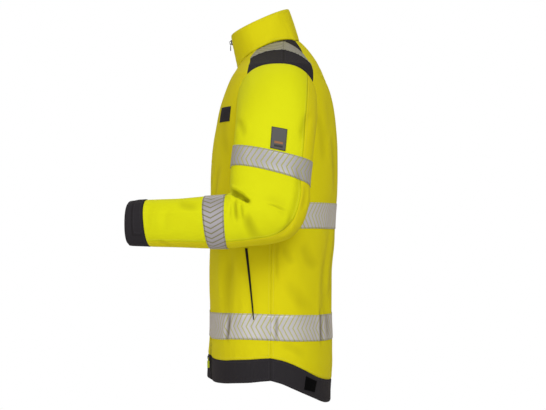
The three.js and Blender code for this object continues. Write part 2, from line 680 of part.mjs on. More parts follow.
// The top edge of the collar above a point of the neck line
function collarTop(p) {
  const centreY = (COLLAR_FRONT.y + COLLAR_BACK.y) / 2;
  const neckCentre = (sectionAt(NECK_FRONT.z).front + sectionAt(NECK_BACK.z).back) / 2;
  const neckDepth = (sectionAt(NECK_BACK.z).back - sectionAt(NECK_FRONT.z).front) / 2;
  const angle = Math.atan2(p.x / COLLAR_HALF_WIDTH, (neckCentre - p.y) / neckDepth);
  const across = signedPower(Math.sin(angle), 2 / COLLAR_POWER);
  const ahead = signedPower(Math.cos(angle), 2 / COLLAR_POWER);
  const x = Math.abs(p.x) <= ZIP_EDGE ? p.x : COLLAR_HALF_WIDTH * across;
  const y = centreY - ((COLLAR_BACK.y - COLLAR_FRONT.y) / 2) * ahead;
  const share = (y - COLLAR_FRONT.y) / (COLLAR_BACK.y - COLLAR_FRONT.y);
  return new THREE.Vector3(x, y, lerp(COLLAR_FRONT.z, COLLAR_BACK.z, share));
}

function neckLine(seams) {
  return [
    ...seams.neckFront,
    ...seams.neckYokeFront.slice(1),
    ...seams.neckYokeBack.slice(1),
    ...seams.neckBack.slice(1),
  ];
}

// Outward directions of a grid from its own slopes, turned to face away from a middle point
function normalsFromSlopes(points, middleOf, closed = false) {
  const rows = points.length - 1;
  const columns = points[0].length;
  return points.map((row, i) => {
    const middle = middleOf(row, i);
    return row.map((p, j) => {
      const before = closed ? (j + columns - 1) % columns : Math.max(0, j - 1);
      const after = closed ? (j + 1) % columns : Math.min(columns - 1, j + 1);
      const across = row[after].clone().sub(row[before]);
      const up = points[Math.min(rows, i + 1)][j].clone().sub(points[Math.max(0, i - 1)][j]);
      const normal = across.cross(up).normalize();
      if (normal.dot(p.clone().sub(middle)) < 0) normal.negate();
      return { point: p, normal };
    });
  });
}

function meanOf(row) {
  return row.reduce((sum, p) => sum.add(p), new THREE.Vector3()).divideScalar(row.length);
}

function buildCollar(left, right) {
  const low = [...neckLine(left), ...neckLine(right).slice(0, -1).reverse()].map((p) => onBody(p));
  const high = low.map(collarTop);
  const points = evenShares(COLLAR_ROWS).map((share) => low.map((p, j) => p.clone().lerp(high[j], share)));
  const grid = withSeams(normalsFromSlopes(points, meanOf), { left: true, right: true });
  const level = grid.map((row) =>
    row.map(({ point, normal }) => ({ point, normal: normal.clone().setZ(0).normalize() })),
  );
  level[0].forEach(({ point }) => point.setZ(point.z + SEAM));
  addCloth("collar", "yellow", level, COLLAR_CLOTH);
  return [level.map((row) => row[0]), level.map((row) => row[row.length - 1])];
}

// The zip fills the gap between the two front edges, from the hem to the top of the collar.
function buildZip(leftEdge, rightEdge, collarEdges) {
  const strip = (left, right) =>
    left.map(({ point, normal }, i) => {
      const other = right[i];
      const middle = normal.clone().add(other.normal).normalize();
      return [
        { point, normal },
        { point: point.clone().lerp(other.point, 0.5), normal: middle },
        { point: other.point, normal: other.normal },
      ];
    });
  const rows = [...strip(leftEdge, rightEdge).slice(0, -1), ...strip(...collarEdges)];
  addCloth("front_zip", "zip", withSeams(rows, { left: true, right: true }, SEAM));
}

function ringPoints(ring, before, after, angles, side) {
  const front = new THREE.Vector3(0, ring.frontY, ring.frontZ);
  const back = new THREE.Vector3(0, ring.backY, ring.backZ);
  const centre = front.clone().lerp(back, 0.5).setX(ring.x);
  const middle = (r) => new THREE.Vector3(r.x, (r.frontY + r.backY) / 2, (r.frontZ + r.backZ) / 2);
  const axis = middle(after).sub(middle(before)).normalize();
  const towardsBack = back.clone().sub(front).divideScalar(2);
  const outwards = axis.clone().cross(towardsBack).normalize();
  return angles.map((angle) => {
    const across = signedPower(Math.cos(radians(angle)), 2 / RING_POWER);
    const out = signedPower(Math.sin(radians(angle)), 2 / RING_POWER);
    const p = centre.clone();
    p.addScaledVector(towardsBack, -across);
    p.addScaledVector(outwards, out * ring.thick);
    p.x *= side;
    return p;
  });
}

// The cap of the sleeve between the armhole and the first ring: each line leaves the armhole along
// CAP_START, bends down and ends along the arm.
function capPoints(angles, shares, side) {
  const first = ringPoints(RINGS[0], RINGS[0], RINGS[1], angles, 1);
  const arm = new THREE.Vector3(
    RINGS[1].x - RINGS[0].x,
    (RINGS[1].frontY + RINGS[1].backY - RINGS[0].frontY - RINGS[0].backY) / 2,
    (RINGS[1].frontZ + RINGS[1].backZ - RINGS[0].frontZ - RINGS[0].backZ) / 2,
  ).normalize();
  const holeMiddle = new THREE.Vector3(sectionAt(ARMHOLE.z).half, ARMHOLE.y, ARMHOLE.z);
  const starts = angles.map((angle) => {
    const p = armholePoint(angle, 1);
    const normal = bodyNormal(p);
    const inwards = holeMiddle.clone().sub(p);
    inwards.addScaledVector(normal, -inwards.dot(normal)).normalize();
    return p.addScaledVector(inwards, SEAM);
  });
  return shares.map((u) =>
    starts.map((start, j) => {
      const chord = first[j].distanceTo(start);
      const p = start.clone().lerp(first[j], u * u * (3 - 2 * u));
      p.addScaledVector(CAP_START, chord * u * (1 - u) * (1 - u));
      p.addScaledVector(arm, chord * u * u * (u - 1));
      p.x *= side;
      return p;
    }),
  );
}

function buildSleeve(side) {
  const angles = sleeveAngles();
  const name = sideName(side);
  const cuffSeam = RINGS.findIndex((ring) => ring.name === "cuffSeam");
  const rings = RINGS.slice(0, cuffSeam + 1).map((ring, i) =>
    ringPoints(ring, RINGS[Math.max(0, i - 1)], RINGS[i + 1], angles, side),
  );
  const [seamRing, endRing] = RINGS.slice(cuffSeam, cuffSeam + 2);
  const cuffRings = CUFF_SHARES.map((share) =>
    ringPoints(blendedRing(seamRing, endRing, share), seamRing, endRing, angles, side),
  );
  const points = [...capPoints(angles, CAP_SHARES, side), ...rings, ...cuffRings];
  const whole = normalsFromSlopes(points, meanOf, true);
  const seamRow = CAP_SHARES.length + cuffSeam;
  const grid = whole.slice(0, seamRow + 1);
  const steps = ARMHOLE_STEPS.map((part) => part.steps);
  const split = steps[0] + steps[1] + steps[2];
  const top = withSeams(grid.map((row) => row.slice(0, split + 1)), { left: true, right: true, high: true });
  const under = withSeams(grid.map((row) => [...row.slice(split), row[0]]), {
    left: true,
    right: true,
    high: true,
  });
  addCloth(`sleeve_top_${name}`, "yellow", top);
  addCloth(`sleeve_under_${name}`, "yellow", under);
  const rowOf = (ringName) => CAP_SHARES.length + RINGS.findIndex((ring) => ring.name === ringName);
  addTape(`arm_tape_${name}`, grid, rowOf("armTapeTop"), rowOf("armTapeLow"), true);
  addTape(`forearm_tape_${name}`, grid, rowOf("foreTapeNear"), rowOf("foreTapeFar"), true);
  buildCuff(side, withSeams(whole.slice(seamRow), { low: true }), split);
}

function blendedRing(near, far, share) {
  const names = Object.keys(near).filter((key) => key !== "name");
  return Object.fromEntries(names.map((key) => [key, lerp(near[key], far[key], share)]));
}

function buildCuff(side, grid, split) {
  addCloth(`cuff_${sideName(side)}`, "charcoal", grid, CUFF_CLOTH, true);
  const rows = grid.slice(CUFF_TAB_ROWS[0], CUFF_TAB_ROWS[1] + 1).map((row) => row.slice(0, split));
  addPiece(`cuff_tab_${sideName(side)}`, "charcoal", wall(rows, SEAM + CLOTH, SEAM));
}

// A small flat piece on the body between four corners, as a grid of rows and columns
function bodyPatch(name, finish, corners, rows, columns) {
  const [topA, topB, lowB, lowA] = corners;
  const points = evenShares(rows).map((t) =>
    evenShares(columns).map((s) => topA.clone().lerp(topB, s).lerp(lowA.clone().lerp(lowB, s), t)),
  );
  addPiece(name, finish, wall(bodyGrid(points), TRIM_LIFT + TRIM, TRIM_LIFT));
}

function buildTrim(side) {
  const name = sideName(side);
  const { topY, topZ, lowY, lowZ, width, rows } = POCKET_ZIP;
  const zipCorners = [
    { y: topY - width / 2, z: topZ },
    { y: topY + width / 2, z: topZ },
    { y: lowY + width / 2, z: lowZ },
    { y: lowY - width / 2, z: lowZ },
  ];
  bodyPatch(`pocket_zip_${name}`, "zip", zipCorners.map((p) => sidePoint(p, side)), rows, 1);
  bodyPatch(`hem_patch_${name}`, "hook", HEM_PATCH.map((p) => sidePoint(p, side)), 2, 2);
}

function buildChestPatch() {
  const { left, right, top, low } = CHEST_PATCH;
  const corners = [
    { x: left, z: top },
    { x: right, z: top },
    { x: right, z: low },
    { x: left, z: low },
  ];
  bodyPatch("chest_patch", "charcoal", corners.map((p) => facePoint(p, false)), 3, 4);
}

function buildBadge() {
  const angles = evenShares(BADGE.columns).map((s) => lerp(BADGE.angleFrom, BADGE.angleTo, s));
  const shares = evenShares(BADGE.rows).map((t) => lerp(BADGE.shareTop, BADGE.shareLow, t));
  const points = capPoints(angles, shares, 1);
  const middle = meanOf(capPoints([0, 90, 180, 270], [0.5], 1)[0]);
  const grid = normalsFromSlopes(points, () => middle);
  addPiece("sleeve_badge", "badge", wall(grid, BADGE_LIFT + TRIM, BADGE_LIFT));
}

function toSolid(geometry) {
  const bare = geometry.clone();
  bare.deleteAttribute("normal");
  bare.deleteAttribute("uv");
  const merged = mergeVertices(bare, SAME_POINT);
  return new wasm.Manifold(
    new wasm.Mesh({
      numProp: 3,
      vertProperties: merged.attributes.position.array,
      triVerts: new Uint32Array(merged.index.array),
    }),
  );
}

function fromSolid(solid) {
  const mesh = solid.getMesh();
  const geometry = new THREE.BufferGeometry();
  geometry.setAttribute("position", new THREE.BufferAttribute(mesh.vertProperties, 3));
  geometry.setIndex(new THREE.BufferAttribute(mesh.triVerts, 1));
  return geometry;
}

function roundedOutline(width, low, high, corner) {
  const half = width / 2;
  const outline = new THREE.Shape();
  outline.moveTo(-half + corner, low);
  outline.lineTo(half - corner, low);
  outline.absarc(half - corner, low + corner, corner, -Math.PI / 2, 0);
  outline.lineTo(half, high - corner);
  outline.absarc(half - corner, high - corner, corner, 0, Math.PI / 2);
  outline.lineTo(-half + corner, high);
  outline.absarc(-half + corner, high - corner, corner, Math.PI / 2, Math.PI);
  outline.lineTo(-half, low + corner);
  outline.absarc(-half + corner, low + corner, corner, Math.PI, 1.5 * Math.PI);
  return outline;
}

// A plate whose outline is drawn across and up, and whose thickness runs forwards from y
function uprightPlate(outline, y, thick) {
  const plate = new THREE.ExtrudeGeometry(outline, { depth: thick, bevelEnabled: false, curveSegments: 4 });
  return plate.rotateX(Math.PI / 2).translate(0, y, 0);
}

// The slider lies just in front of the zip. Its bridge is an arch with a hole from side to side.
function sliderGeometry() {
  const body = uprightPlate(
    roundedOutline(SLIDER.width, -SLIDER.length / 2, SLIDER.length / 2, SLIDER.corner),
    -SEAM,
    SLIDER.thick,
  );
  const face = SEAM + SLIDER.thick;
  const arch = new THREE.Shape();
  const top = face + BRIDGE.holeDepth + BRIDGE.wall;
  arch.moveTo(face - BRIDGE.sunk, -BRIDGE.length / 2);
  arch.lineTo(top - BRIDGE.wall, -BRIDGE.length / 2);
  arch.lineTo(top, -BRIDGE.holeLength / 2);
  arch.lineTo(top, BRIDGE.holeLength / 2);
  arch.lineTo(top - BRIDGE.wall, BRIDGE.length / 2);
  arch.lineTo(face - BRIDGE.sunk, BRIDGE.length / 2);
  const hole = new THREE.Path();
  hole.moveTo(face, -BRIDGE.holeLength / 2);
  hole.lineTo(face, BRIDGE.holeLength / 2);
  hole.lineTo(face + BRIDGE.holeDepth, BRIDGE.holeLength / 2);
  hole.lineTo(face + BRIDGE.holeDepth, -BRIDGE.holeLength / 2);
  arch.holes.push(hole);
  const bridge = new THREE.ExtrudeGeometry(arch, { depth: BRIDGE.width, bevelEnabled: false });
  bridge.translate(0, 0, -BRIDGE.width / 2);
  bridge.applyMatrix4(
    new THREE.Matrix4().makeBasis(
      new THREE.Vector3(0, -1, 0),
      new THREE.Vector3(0, 0, 1),
      new THREE.Vector3(-1, 0, 0),
    ),
  );
  return fromSolid(toSolid(body).add(toSolid(bridge)));
}

// The pull hangs from its bar, whose middle is the origin: two legs round a window, then the grip.
function pullGeometry(grip) {
  const half = PULL.bar / 2;
  const windowLow = -half - PULL.window;
  const gripTop = windowLow - PULL.step;
  const loop = roundedOutline(PULL.windowWidth + 2 * PULL.legs, windowLow - PULL.root, half, half);
  const opening = new THREE.Path();
  opening.moveTo(-PULL.windowWidth / 2, windowLow);
  opening.lineTo(-PULL.windowWidth / 2, -half);
  opening.lineTo(PULL.windowWidth / 2, -half);
  opening.lineTo(PULL.windowWidth / 2, windowLow);
  loop.holes.push(opening);
  const gripOutline = roundedOutline(grip.width, gripTop - grip.length, gripTop, PULL.corner);
  const ring = uprightPlate(loop, half, PULL.bar);
  const pad = uprightPlate(gripOutline, grip.thick / 2, grip.thick);
  return fromSolid(toSolid(ring).add(toSolid(pad)));
}

// A slider on the zip at a point, tilted to lie along it, with its pull hanging straight down
function buildSlider(name, point, tilt, { grip, finish }) {
  const mount = new THREE.Group();
  mount.position.copy(point);
  mount.rotation.x = tilt;
  jacket.add(mount);
  addPiece(`zip_slider${name}`, "metal", sliderGeometry(), mount);
  const barDepth = SEAM + SLIDER.thick + BRIDGE.holeDepth / 2;
  const bar = new THREE.Vector3(0, -barDepth, -PULL.drop).applyEuler(mount.rotation).add(point);
  addPiece(`zip_pull${name}`, finish, pullGeometry(grip)).position.copy(bar);
}

function buildSliders() {
  const neck = facePoint(NECK_FRONT, false);
  const top = new THREE.Vector3(0, COLLAR_FRONT.y, COLLAR_FRONT.z);
  const lean = Math.atan2(neck.y - top.y, top.z - neck.z);
  buildSlider("", neck.lerp(top, UPPER_ZIP.share), lean, UPPER_ZIP);
  const low = onBody(facePoint({ x: ZIP_HALF, z: LOWER_ZIP.z }, false, -1), SEAM / 2).setX(0);
  buildSlider("_lower", low, 0, LOWER_ZIP);
}

const seams = { left: seamsOf(1), right: seamsOf(-1) };
const leftEdge = buildFront(1, seams.left);
const rightEdge = buildFront(-1, seams.right);
buildBack(seams.left, seams.right);
buildBackYoke(seams.left, seams.right);
buildYokes(1, seams.left);
buildYokes(-1, seams.right);
const collarEdges = buildCollar(seams.left, seams.right);
buildZip(leftEdge, rightEdge, collarEdges);
buildSleeve(1);
buildSleeve(-1);
buildTrim(1);
buildTrim(-1);
buildChestPatch();
buildBadge();
buildSliders();

export default jacket;
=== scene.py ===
"""Looks of the hi-vis work jacket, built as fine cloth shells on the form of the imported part.

Lengths in the tables are millimetres in the row frame: +X towards the wearer's left, +Y towards the
back, +Z up. Meshes are written in metres.
"""

import logging
import math
from dataclasses import dataclass, field, replace
from enum import Enum

import bpy
import numpy as np
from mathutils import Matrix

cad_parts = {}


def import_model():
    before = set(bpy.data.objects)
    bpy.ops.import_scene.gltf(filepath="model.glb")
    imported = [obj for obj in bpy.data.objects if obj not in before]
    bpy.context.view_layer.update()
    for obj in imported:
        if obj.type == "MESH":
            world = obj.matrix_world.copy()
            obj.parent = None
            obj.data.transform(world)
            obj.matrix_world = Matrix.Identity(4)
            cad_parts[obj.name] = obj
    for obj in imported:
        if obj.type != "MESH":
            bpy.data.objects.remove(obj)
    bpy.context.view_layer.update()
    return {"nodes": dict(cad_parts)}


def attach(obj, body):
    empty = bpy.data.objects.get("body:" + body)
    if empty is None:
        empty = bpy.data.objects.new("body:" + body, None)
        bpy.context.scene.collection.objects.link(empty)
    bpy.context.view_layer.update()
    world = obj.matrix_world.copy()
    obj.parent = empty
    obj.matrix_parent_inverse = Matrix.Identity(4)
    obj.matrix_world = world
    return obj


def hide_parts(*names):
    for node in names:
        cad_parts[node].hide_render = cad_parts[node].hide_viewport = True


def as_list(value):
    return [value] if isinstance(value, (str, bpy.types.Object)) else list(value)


LOG = logging.getLogger("jacket")
METRES = 0.001
BODY_NAME = "jacket"
SMALLEST_SHEET = 0.01


class Side(Enum):
    """The wearer's sides, with the sign of X."""

    LEFT = 1
    RIGHT = -1

    @property
    def label(self) -> str:
        """The side's name in node names."""
        return self.name.lower()


class View(Enum):
    """The direction that a crease is drawn from: the outward direction, and the two axes of the drawing."""

    LEFT = ((1, 0, 0), 1, 2)
    RIGHT = ((-1, 0, 0), 1, 2)
    FRONT = ((0, -1, 0), 0, 2)
    BACK = ((0, 1, 0), 0, 2)


class Held(Enum):
    """How a sheet of cloth is held."""

    HUNG = "hung"
    LAID = "laid"


def harmonic_slopes(steps: np.ndarray, slopes: np.ndarray) -> np.ndarray:
    """Slopes at the points of a curve that never swings past them.

    Each inner one is the weighted harmonic mean of the slopes on both sides, or 0 at a turning point.

    Args:
        steps: Lengths from point to point.
        slopes: The slope over each step.
    Returns:
        One slope for each point.
    """
    before, after = slopes[:-1], slopes[1:]
    first, second = 2 * steps[1:] + steps[:-1], steps[1:] + 2 * steps[:-1]
    same = before * after > 0
    weights = first / np.where(same, before, 1) + second / np.where(same, after, 1)
    inner = np.where(same, (first + second) / np.where(same, weights, 1), 0)
    return np.concatenate([slopes[:1], inner, slopes[-1:]])


def monotone(xs: np.ndarray, ys: np.ndarray, x: np.ndarray) -> np.ndarray:
    """A smooth curve through points that never swings past them.

    Args:
        xs: Increasing positions.
        ys: Values there.
        x: Positions to look up.
    Returns:
        The values at x.
    """
    steps = np.diff(xs)
    tangents = harmonic_slopes(steps, np.diff(ys) / steps)
    i = np.clip(np.searchsorted(xs, x, side="right") - 1, 0, len(xs) - 2)
    t = np.clip((x - xs[i]) / steps[i], 0, 1)
    rise = t * t * (3 - 2 * t)
    out = t * (1 - t) ** 2 * steps[i] * tangents[i]
    back = t * t * (t - 1) * steps[i] * tangents[i + 1]
    return ys[i] + (ys[i + 1] - ys[i]) * rise + out + back


@dataclass(frozen=True)
class SmoothTable:
    """Smooth curves through the columns of a table, looked up by its first column."""

    names: tuple[str, ...]
    rows: tuple[tuple[float, ...], ...]

    def at(self, x: np.ndarray) -> dict[str, np.ndarray]:
        """The value of each column at x.

        Args:
            x: Positions in the first column.
        Returns:
            An array of x's shape for each named column.
        """
        data = np.array(sorted(self.rows), float)
        x = np.asarray(x, float)
        return {name: monotone(data[:, 0], data[:, k + 1], x) for k, name in enumerate(self.names)}


SECTIONS = SmoothTable(
    ("front", "back", "half", "side", "power"),
    (
        (10, -36, 50, 60, 21, 2),
        (6.5, -38, 54, 69, 21, 2),
        (0, -42, 61, 84, 21, 2),
        (-10, -48.5, 70.5, 106, 21, 2),
        (-22, -56, 79.6, 132, 21, 2.05),
        (-38, -66, 89.8, 167, 20, 2.1),
        (-48, -72, 94.5, 189, 20, 2.15),
        (-55, -76, 97.9, 204, 20, 2.2),
        (-71, -85.4, 104, 209, 16, 2.4),
        (-104, -98.8, 117, 206, 12, 2.5),
        (-136, -108.8, 124, 202, 10, 2.5),
        (-169, -115.2, 128, 199, 9, 2.45),
        (-215, -122.4, 131, 197, 8, 2.4),
        (-260, -125.3, 131.4, 196, 4, 2.35),
        (-300, -126.5, 130.6, 196, 1, 2.35),
        (-347, -127.2, 127, 196, -1, 2.35),
        (-400, -128, 124.4, 196, -2, 2.35),
        (-463, -128.5, 118.3, 195.5, -3.5, 2.35),
        (-544, -127.5, 118.3, 195, -4, 2.35),
        (-594, -125, 120.4, 195, -4, 2.35),
        (-640, -124, 120.2, 195, -4, 2.35),
        (-675, -123, 118, 195, -4, 2.35),
        (-725, -122, 116.5, 195, -4, 2.35),
    ),
)
LEVEL_NAMES = ("hem", "hem_top", "waist_low", "waist_top", "chest_low", "chest_top")
LEVELS = SmoothTable(
    LEVEL_NAMES,
    (
        (0, -682, -633, -595, -543, -374, -324),
        (44, -674, -629, -588, -536.5, -371, -321.5),
        (57, -670.5, -625.5, -585, -535, -371, -321),
        (72, -667.5, -623, -584.5, -534.5, -370.5, -321),
        (90, -663.4, -620, -585.5, -535.8, -370.5, -321),
        (106, -676, -629.7, -587.5, -537, -371, -321),
        (123, -693, -647.8, -589, -538.5, -371, -321),
        (133, -703, -659.3, -590.5, -540, -371.5, -321.5),
        (148, -715, -669.5, -592, -541.5, -373, -322.5),
        (180, -722.5, -679, -594, -543.5, -374.5, -324),
    ),
)
# Largest soft folds: turn, height, half the width in degrees, half the height, degrees of lean for
# each 100 mm up, and how far the fold stands out
BODY_FOLDS = (
    (41, -455, 5, 95, -2, 3.5),
    (50, -440, 4.5, 80, -3, -3.5),
    (60, -480, 6, 110, 3, 3),
    (148, -450, 6, 120, 3, -4),
    (158, -500, 6, 110, 2, 3),
    (110, -470, 8, 90, -4, 3),
    (-44, -470, 5, 100, 2, 3.5),
    (-54, -450, 5, 85, 3, -3.5),
    (-152, -460, 7, 110, -3, -3.5),
    (-113, -480, 8, 95, 4, 3),
    (-13, -700, 11, 120, 0, 15),
)
ARMHOLE_Y, ARMHOLE_Z = 8.0, -136.0
ARMHOLE_DEPTH, ARMHOLE_RISE, ARMHOLE_DROP, ARMHOLE_POWER = 78.0, 81.0, 79.0, 2.5
ARMHOLE_HALF_WIDTH = 202.0
ARMPIT_LEVEL = ARMHOLE_Z - ARMHOLE_DROP
MIDDLE_LEVEL = -400.0
ZIP_HALF = 5.0
SLOPE_STEP = 0.5


def signed_power(value: np.ndarray, power: float) -> np.ndarray:
    """value's size to a power, with its own sign."""
    return np.sign(value) * np.abs(value) ** power


def unit(vectors: np.ndarray) -> np.ndarray:
    """The vectors at length 1."""
    return vectors / np.maximum(np.linalg.norm(vectors, axis=-1, keepdims=True), 1e-9)


def mix(a: np.ndarray, b: np.ndarray, t: np.ndarray) -> np.ndarray:
    """From a to b by the share t."""
    return a + (b - a) * t


class BodyForm:
    """The torso: level superellipse sections from a table, with soft folds moved out of them."""

    @staticmethod
    def depth(y: np.ndarray, section: dict[str, np.ndarray]) -> np.ndarray:
        """The depth of the half of the section that y lies in."""
        ahead = section["side"] - section["front"]
        return np.where(y < section["side"], ahead, section["back"] - section["side"])

    def reach(self, p: np.ndarray) -> np.ndarray:
        """How far out points are in their own section: 1 is on the surface.

        Args:
            p: Points, in millimetres.
        Returns:
            (|x / half|^power + |(y - side) / depth|^power)^(1 / power).
        """
        s = SECTIONS.at(p[..., 2])
        across = np.abs(p[..., 0] / s["half"]) ** s["power"]
        ahead = np.abs((p[..., 1] - s["side"]) / self.depth(p[..., 1], s)) ** s["power"]
        return (across + ahead) ** (1 / s["power"])

    def normal(self, p: np.ndarray) -> np.ndarray:
        """The outward direction at points, from the slope of reach.

        Args:
            p: Points, in millimetres.
        Returns:
            Unit vectors.
        """
        steps = np.eye(3) * SLOPE_STEP
        return unit(np.stack([self.reach(p + step) - self.reach(p - step) for step in steps], axis=-1))

    def folds(self, p: np.ndarray) -> np.ndarray:
        """How far the soft folds stand out at points of the plain surface.

        Each fold is rise * exp(-across^2 - along^2), where across is the turn from its leaning middle line
        over its width and along is the height from its middle over its half height.

        Args:
            p: Points, in millimetres.
        Returns:
            Heights over the plain surface, in millimetres.
        """
        s = SECTIONS.at(p[..., 2])
        ahead = (s["side"] - p[..., 1]) / self.depth(p[..., 1], s)
        turn = np.degrees(np.arctan2(p[..., 0] / s["half"], ahead))
        total = np.zeros(p.shape[:-1])
        for middle, z, wide, tall, lean, rise in BODY_FOLDS:
            across = (turn - middle - lean * (p[..., 2] - z) / 100) / wide
            along = (p[..., 2] - z) / tall
            total += rise * np.exp(-across * across - along * along)
        return total

    def surface(self, p: np.ndarray) -> tuple[np.ndarray, np.ndarray]:
        """Moves points level to the surface and out by the folds.

        Args:
            p: Points near the surface, in millimetres.
        Returns:
            The moved points and the outward directions there.
        """
        side = SECTIONS.at(p[..., 2])["side"]
        middle = np.stack([np.zeros_like(side), side, p[..., 2]], axis=-1)
        q = middle + (p - middle) / self.reach(p)[..., None]
        q = q + self.normal(q) * self.folds(q)[..., None]
        return q, self.normal(q)

    @staticmethod
    def side_point(y: float, z: float, side: Side) -> np.ndarray:
        """The surface point at a depth and height on one side."""
        s = SECTIONS.at(z)
        share = np.abs((y - s["side"]) / BodyForm.depth(y, s)) ** s["power"]
        width = s["half"] * np.maximum(0, 1 - share) ** (1 / s["power"])
        return np.stack(np.broadcast_arrays(side.value * width, y, z), axis=-1).astype(float)

    @staticmethod
    def face_point(x: float, z: float, back: bool, side: Side) -> np.ndarray:
        """The surface point at a width and height on the front or the back."""
        s = SECTIONS.at(z)
        depth = (s["back"] if back else s["front"]) - s["side"]
        y = s["side"] + depth * (1 - np.abs(x / s["half"]) ** s["power"]) ** (1 / s["power"])
        return np.stack(np.broadcast_arrays(side.value * x, y, z), axis=-1).astype(float)

    @staticmethod
    def turn_point(turn: np.ndarray, z: np.ndarray) -> np.ndarray:
        """The surface point at a turn, in degrees from the front, and a height."""
        s = SECTIONS.at(z)
        across, ahead = np.sin(np.radians(turn)), np.cos(np.radians(turn))
        depth = np.where(ahead > 0, s["side"] - s["front"], s["back"] - s["side"])
        r = (np.abs(across) ** s["power"] + np.abs(ahead) ** s["power"]) ** (-1 / s["power"])
        x, y = across * r * s["half"], s["side"] - ahead * r * depth
        return np.stack(np.broadcast_arrays(x, y, z), axis=-1)

    def armhole(self, angle: np.ndarray, side: Side) -> np.ndarray:
        """Points of the armhole's oval: 0 is its front, 90 its top and 180 its back."""
        across = signed_power(np.cos(np.radians(angle)), 2 / ARMHOLE_POWER)
        up = signed_power(np.sin(np.radians(angle)), 2 / ARMHOLE_POWER)
        tall = np.where(up > 0, ARMHOLE_RISE, ARMHOLE_DROP)
        return self.side_point(ARMHOLE_Y - ARMHOLE_DEPTH * across, ARMHOLE_Z + tall * up, side)


BODY = BodyForm()


def even(steps: int) -> np.ndarray:
    """Shares from 0 to 1 in even steps."""
    return np.linspace(0, 1, steps + 1)


def length_shares(points: np.ndarray) -> np.ndarray:
    """Shares of a row's length at each of its points."""
    sums = np.concatenate([[0], np.cumsum(np.linalg.norm(np.diff(points, axis=0), axis=1))])
    return sums / sums[-1]


def along(points: list[np.ndarray], shares: np.ndarray) -> np.ndarray:
    """Points at shares of the length of a centripetal curve through others.

    Args:
        points: The points to pass through.
        shares: Shares of the length.
    Returns:
        A row of points.
    """
    p = np.array([2 * points[0] - points[1], *points, 2 * points[-1] - points[-2]])
    gaps = (np.diff(p, axis=0) ** 2).sum(1)[:, None] ** 0.25
    a, b, c = gaps[:-2], gaps[1:-1], gaps[2:]
    start = ((p[1:-2] - p[:-3]) / a - (p[2:-1] - p[:-3]) / (a + b) + (p[2:-1] - p[1:-2]) / b) * b
    end = ((p[2:-1] - p[1:-2]) / b - (p[3:] - p[1:-2]) / (b + c) + (p[3:] - p[2:-1]) / c) * b
    t = np.linspace(0, 1, 40, endpoint=False)[None, :, None]
    p0, p1, start, end = (v[:, None] for v in (p[1:-2], p[2:-1], start, end))
    near = p0 * (1 + 2 * t) * (1 - t) ** 2 + start * t * (1 - t) ** 2
    fine = near + p1 * t * t * (3 - 2 * t) + end * t * t * (t - 1)
    row = np.vstack([fine.reshape(-1, 3), points[-1]])
    found = length_shares(row)
    return np.stack([np.interp(shares, found, row[:, k]) for k in range(3)], axis=-1)


def blended(low: np.ndarray, high: np.ndarray, left: np.ndarray, right: np.ndarray) -> np.ndarray:
    """A patch between four rows: each point blends its row's and its column's ends by length.

    Args:
        low: The first row of points.
        high: The last row.
        left: The first column.
        right: The last column.
    Returns:
        A grid of points.
    """
    left_share, right_share = length_shares(left)[:, None], length_shares(right)[:, None]
    first = mix(left_share, right_share, even(len(low) - 1)[None, :])
    s = mix(length_shares(low)[None, :], length_shares(high)[None, :], first)[..., None]
    t = mix(left_share[..., None], right_share[..., None], s)
    corners = mix(mix(low[0], low[-1], s), mix(high[0], high[-1], s), t)
    return mix(low[None], high[None], t) + mix(left[:, None], right[:, None], s) - corners


def refined_rows(points: np.ndarray, places: np.ndarray) -> np.ndarray:
    """A smooth path through the rows of a grid, column by column.

    Each coordinate is a monotone cubic over the column's own length, so it never swings past its points.

    Args:
        points: A grid of points.
        places: Row numbers to look up, whole or between.
    Returns:
        A grid with a row for each place.
    """
    steps = np.maximum(np.linalg.norm(np.diff(points, axis=0), axis=-1, keepdims=True), 1e-3)
    tangents = harmonic_slopes(steps, np.diff(points, axis=0) / steps)
    i = np.clip(places.astype(int), 0, len(points) - 2)
    t = (places - i)[:, None, None]
    out = t * (1 - t) ** 2 * steps[i] * tangents[i]
    back = t * t * (t - 1) * steps[i] * tangents[i + 1]
    return points[i] + (points[i + 1] - points[i]) * t * t * (3 - 2 * t) + out + back


EDGE_LINES = (0.05, 0.12)


def places(intervals: int, steps: int) -> np.ndarray:
    """Row numbers of a refined grid, with closer lines next to both ends."""
    inner = [*EDGE_LINES, *(intervals - np.array(EDGE_LINES))]
    return np.unique(np.concatenate([np.linspace(0, intervals, intervals * steps + 1), inner]))


def refined(points: np.ndarray, row_places: np.ndarray, column_places: np.ndarray) -> np.ndarray:
    """A coarse grid made fine in both directions."""
    rows = refined_rows(points, row_places)
    return refined_rows(rows.swapaxes(0, 1), column_places).swapaxes(0, 1)


# A crease's low shoulders: their share of its depth, their distance and their width, in its own widths
SHOULDER_SHARE, SHOULDER_AWAY, SHOULDER_WIDTH = 0.35, 2, 0.9
# Half of a crease's length before it fades, in its own lengths, and where its view begins and ends
CREASE_REACH = 0.46
FACING_FROM, FACING_OVER = 0.05, 0.45
# A sewn edge, in millimetres: reach of the roll, and where the pucker starts and fades
ROLL_REACH, PUCKER_START, PUCKER_FADE = 1.6, 3, 8
FAR_AWAY = 1e3


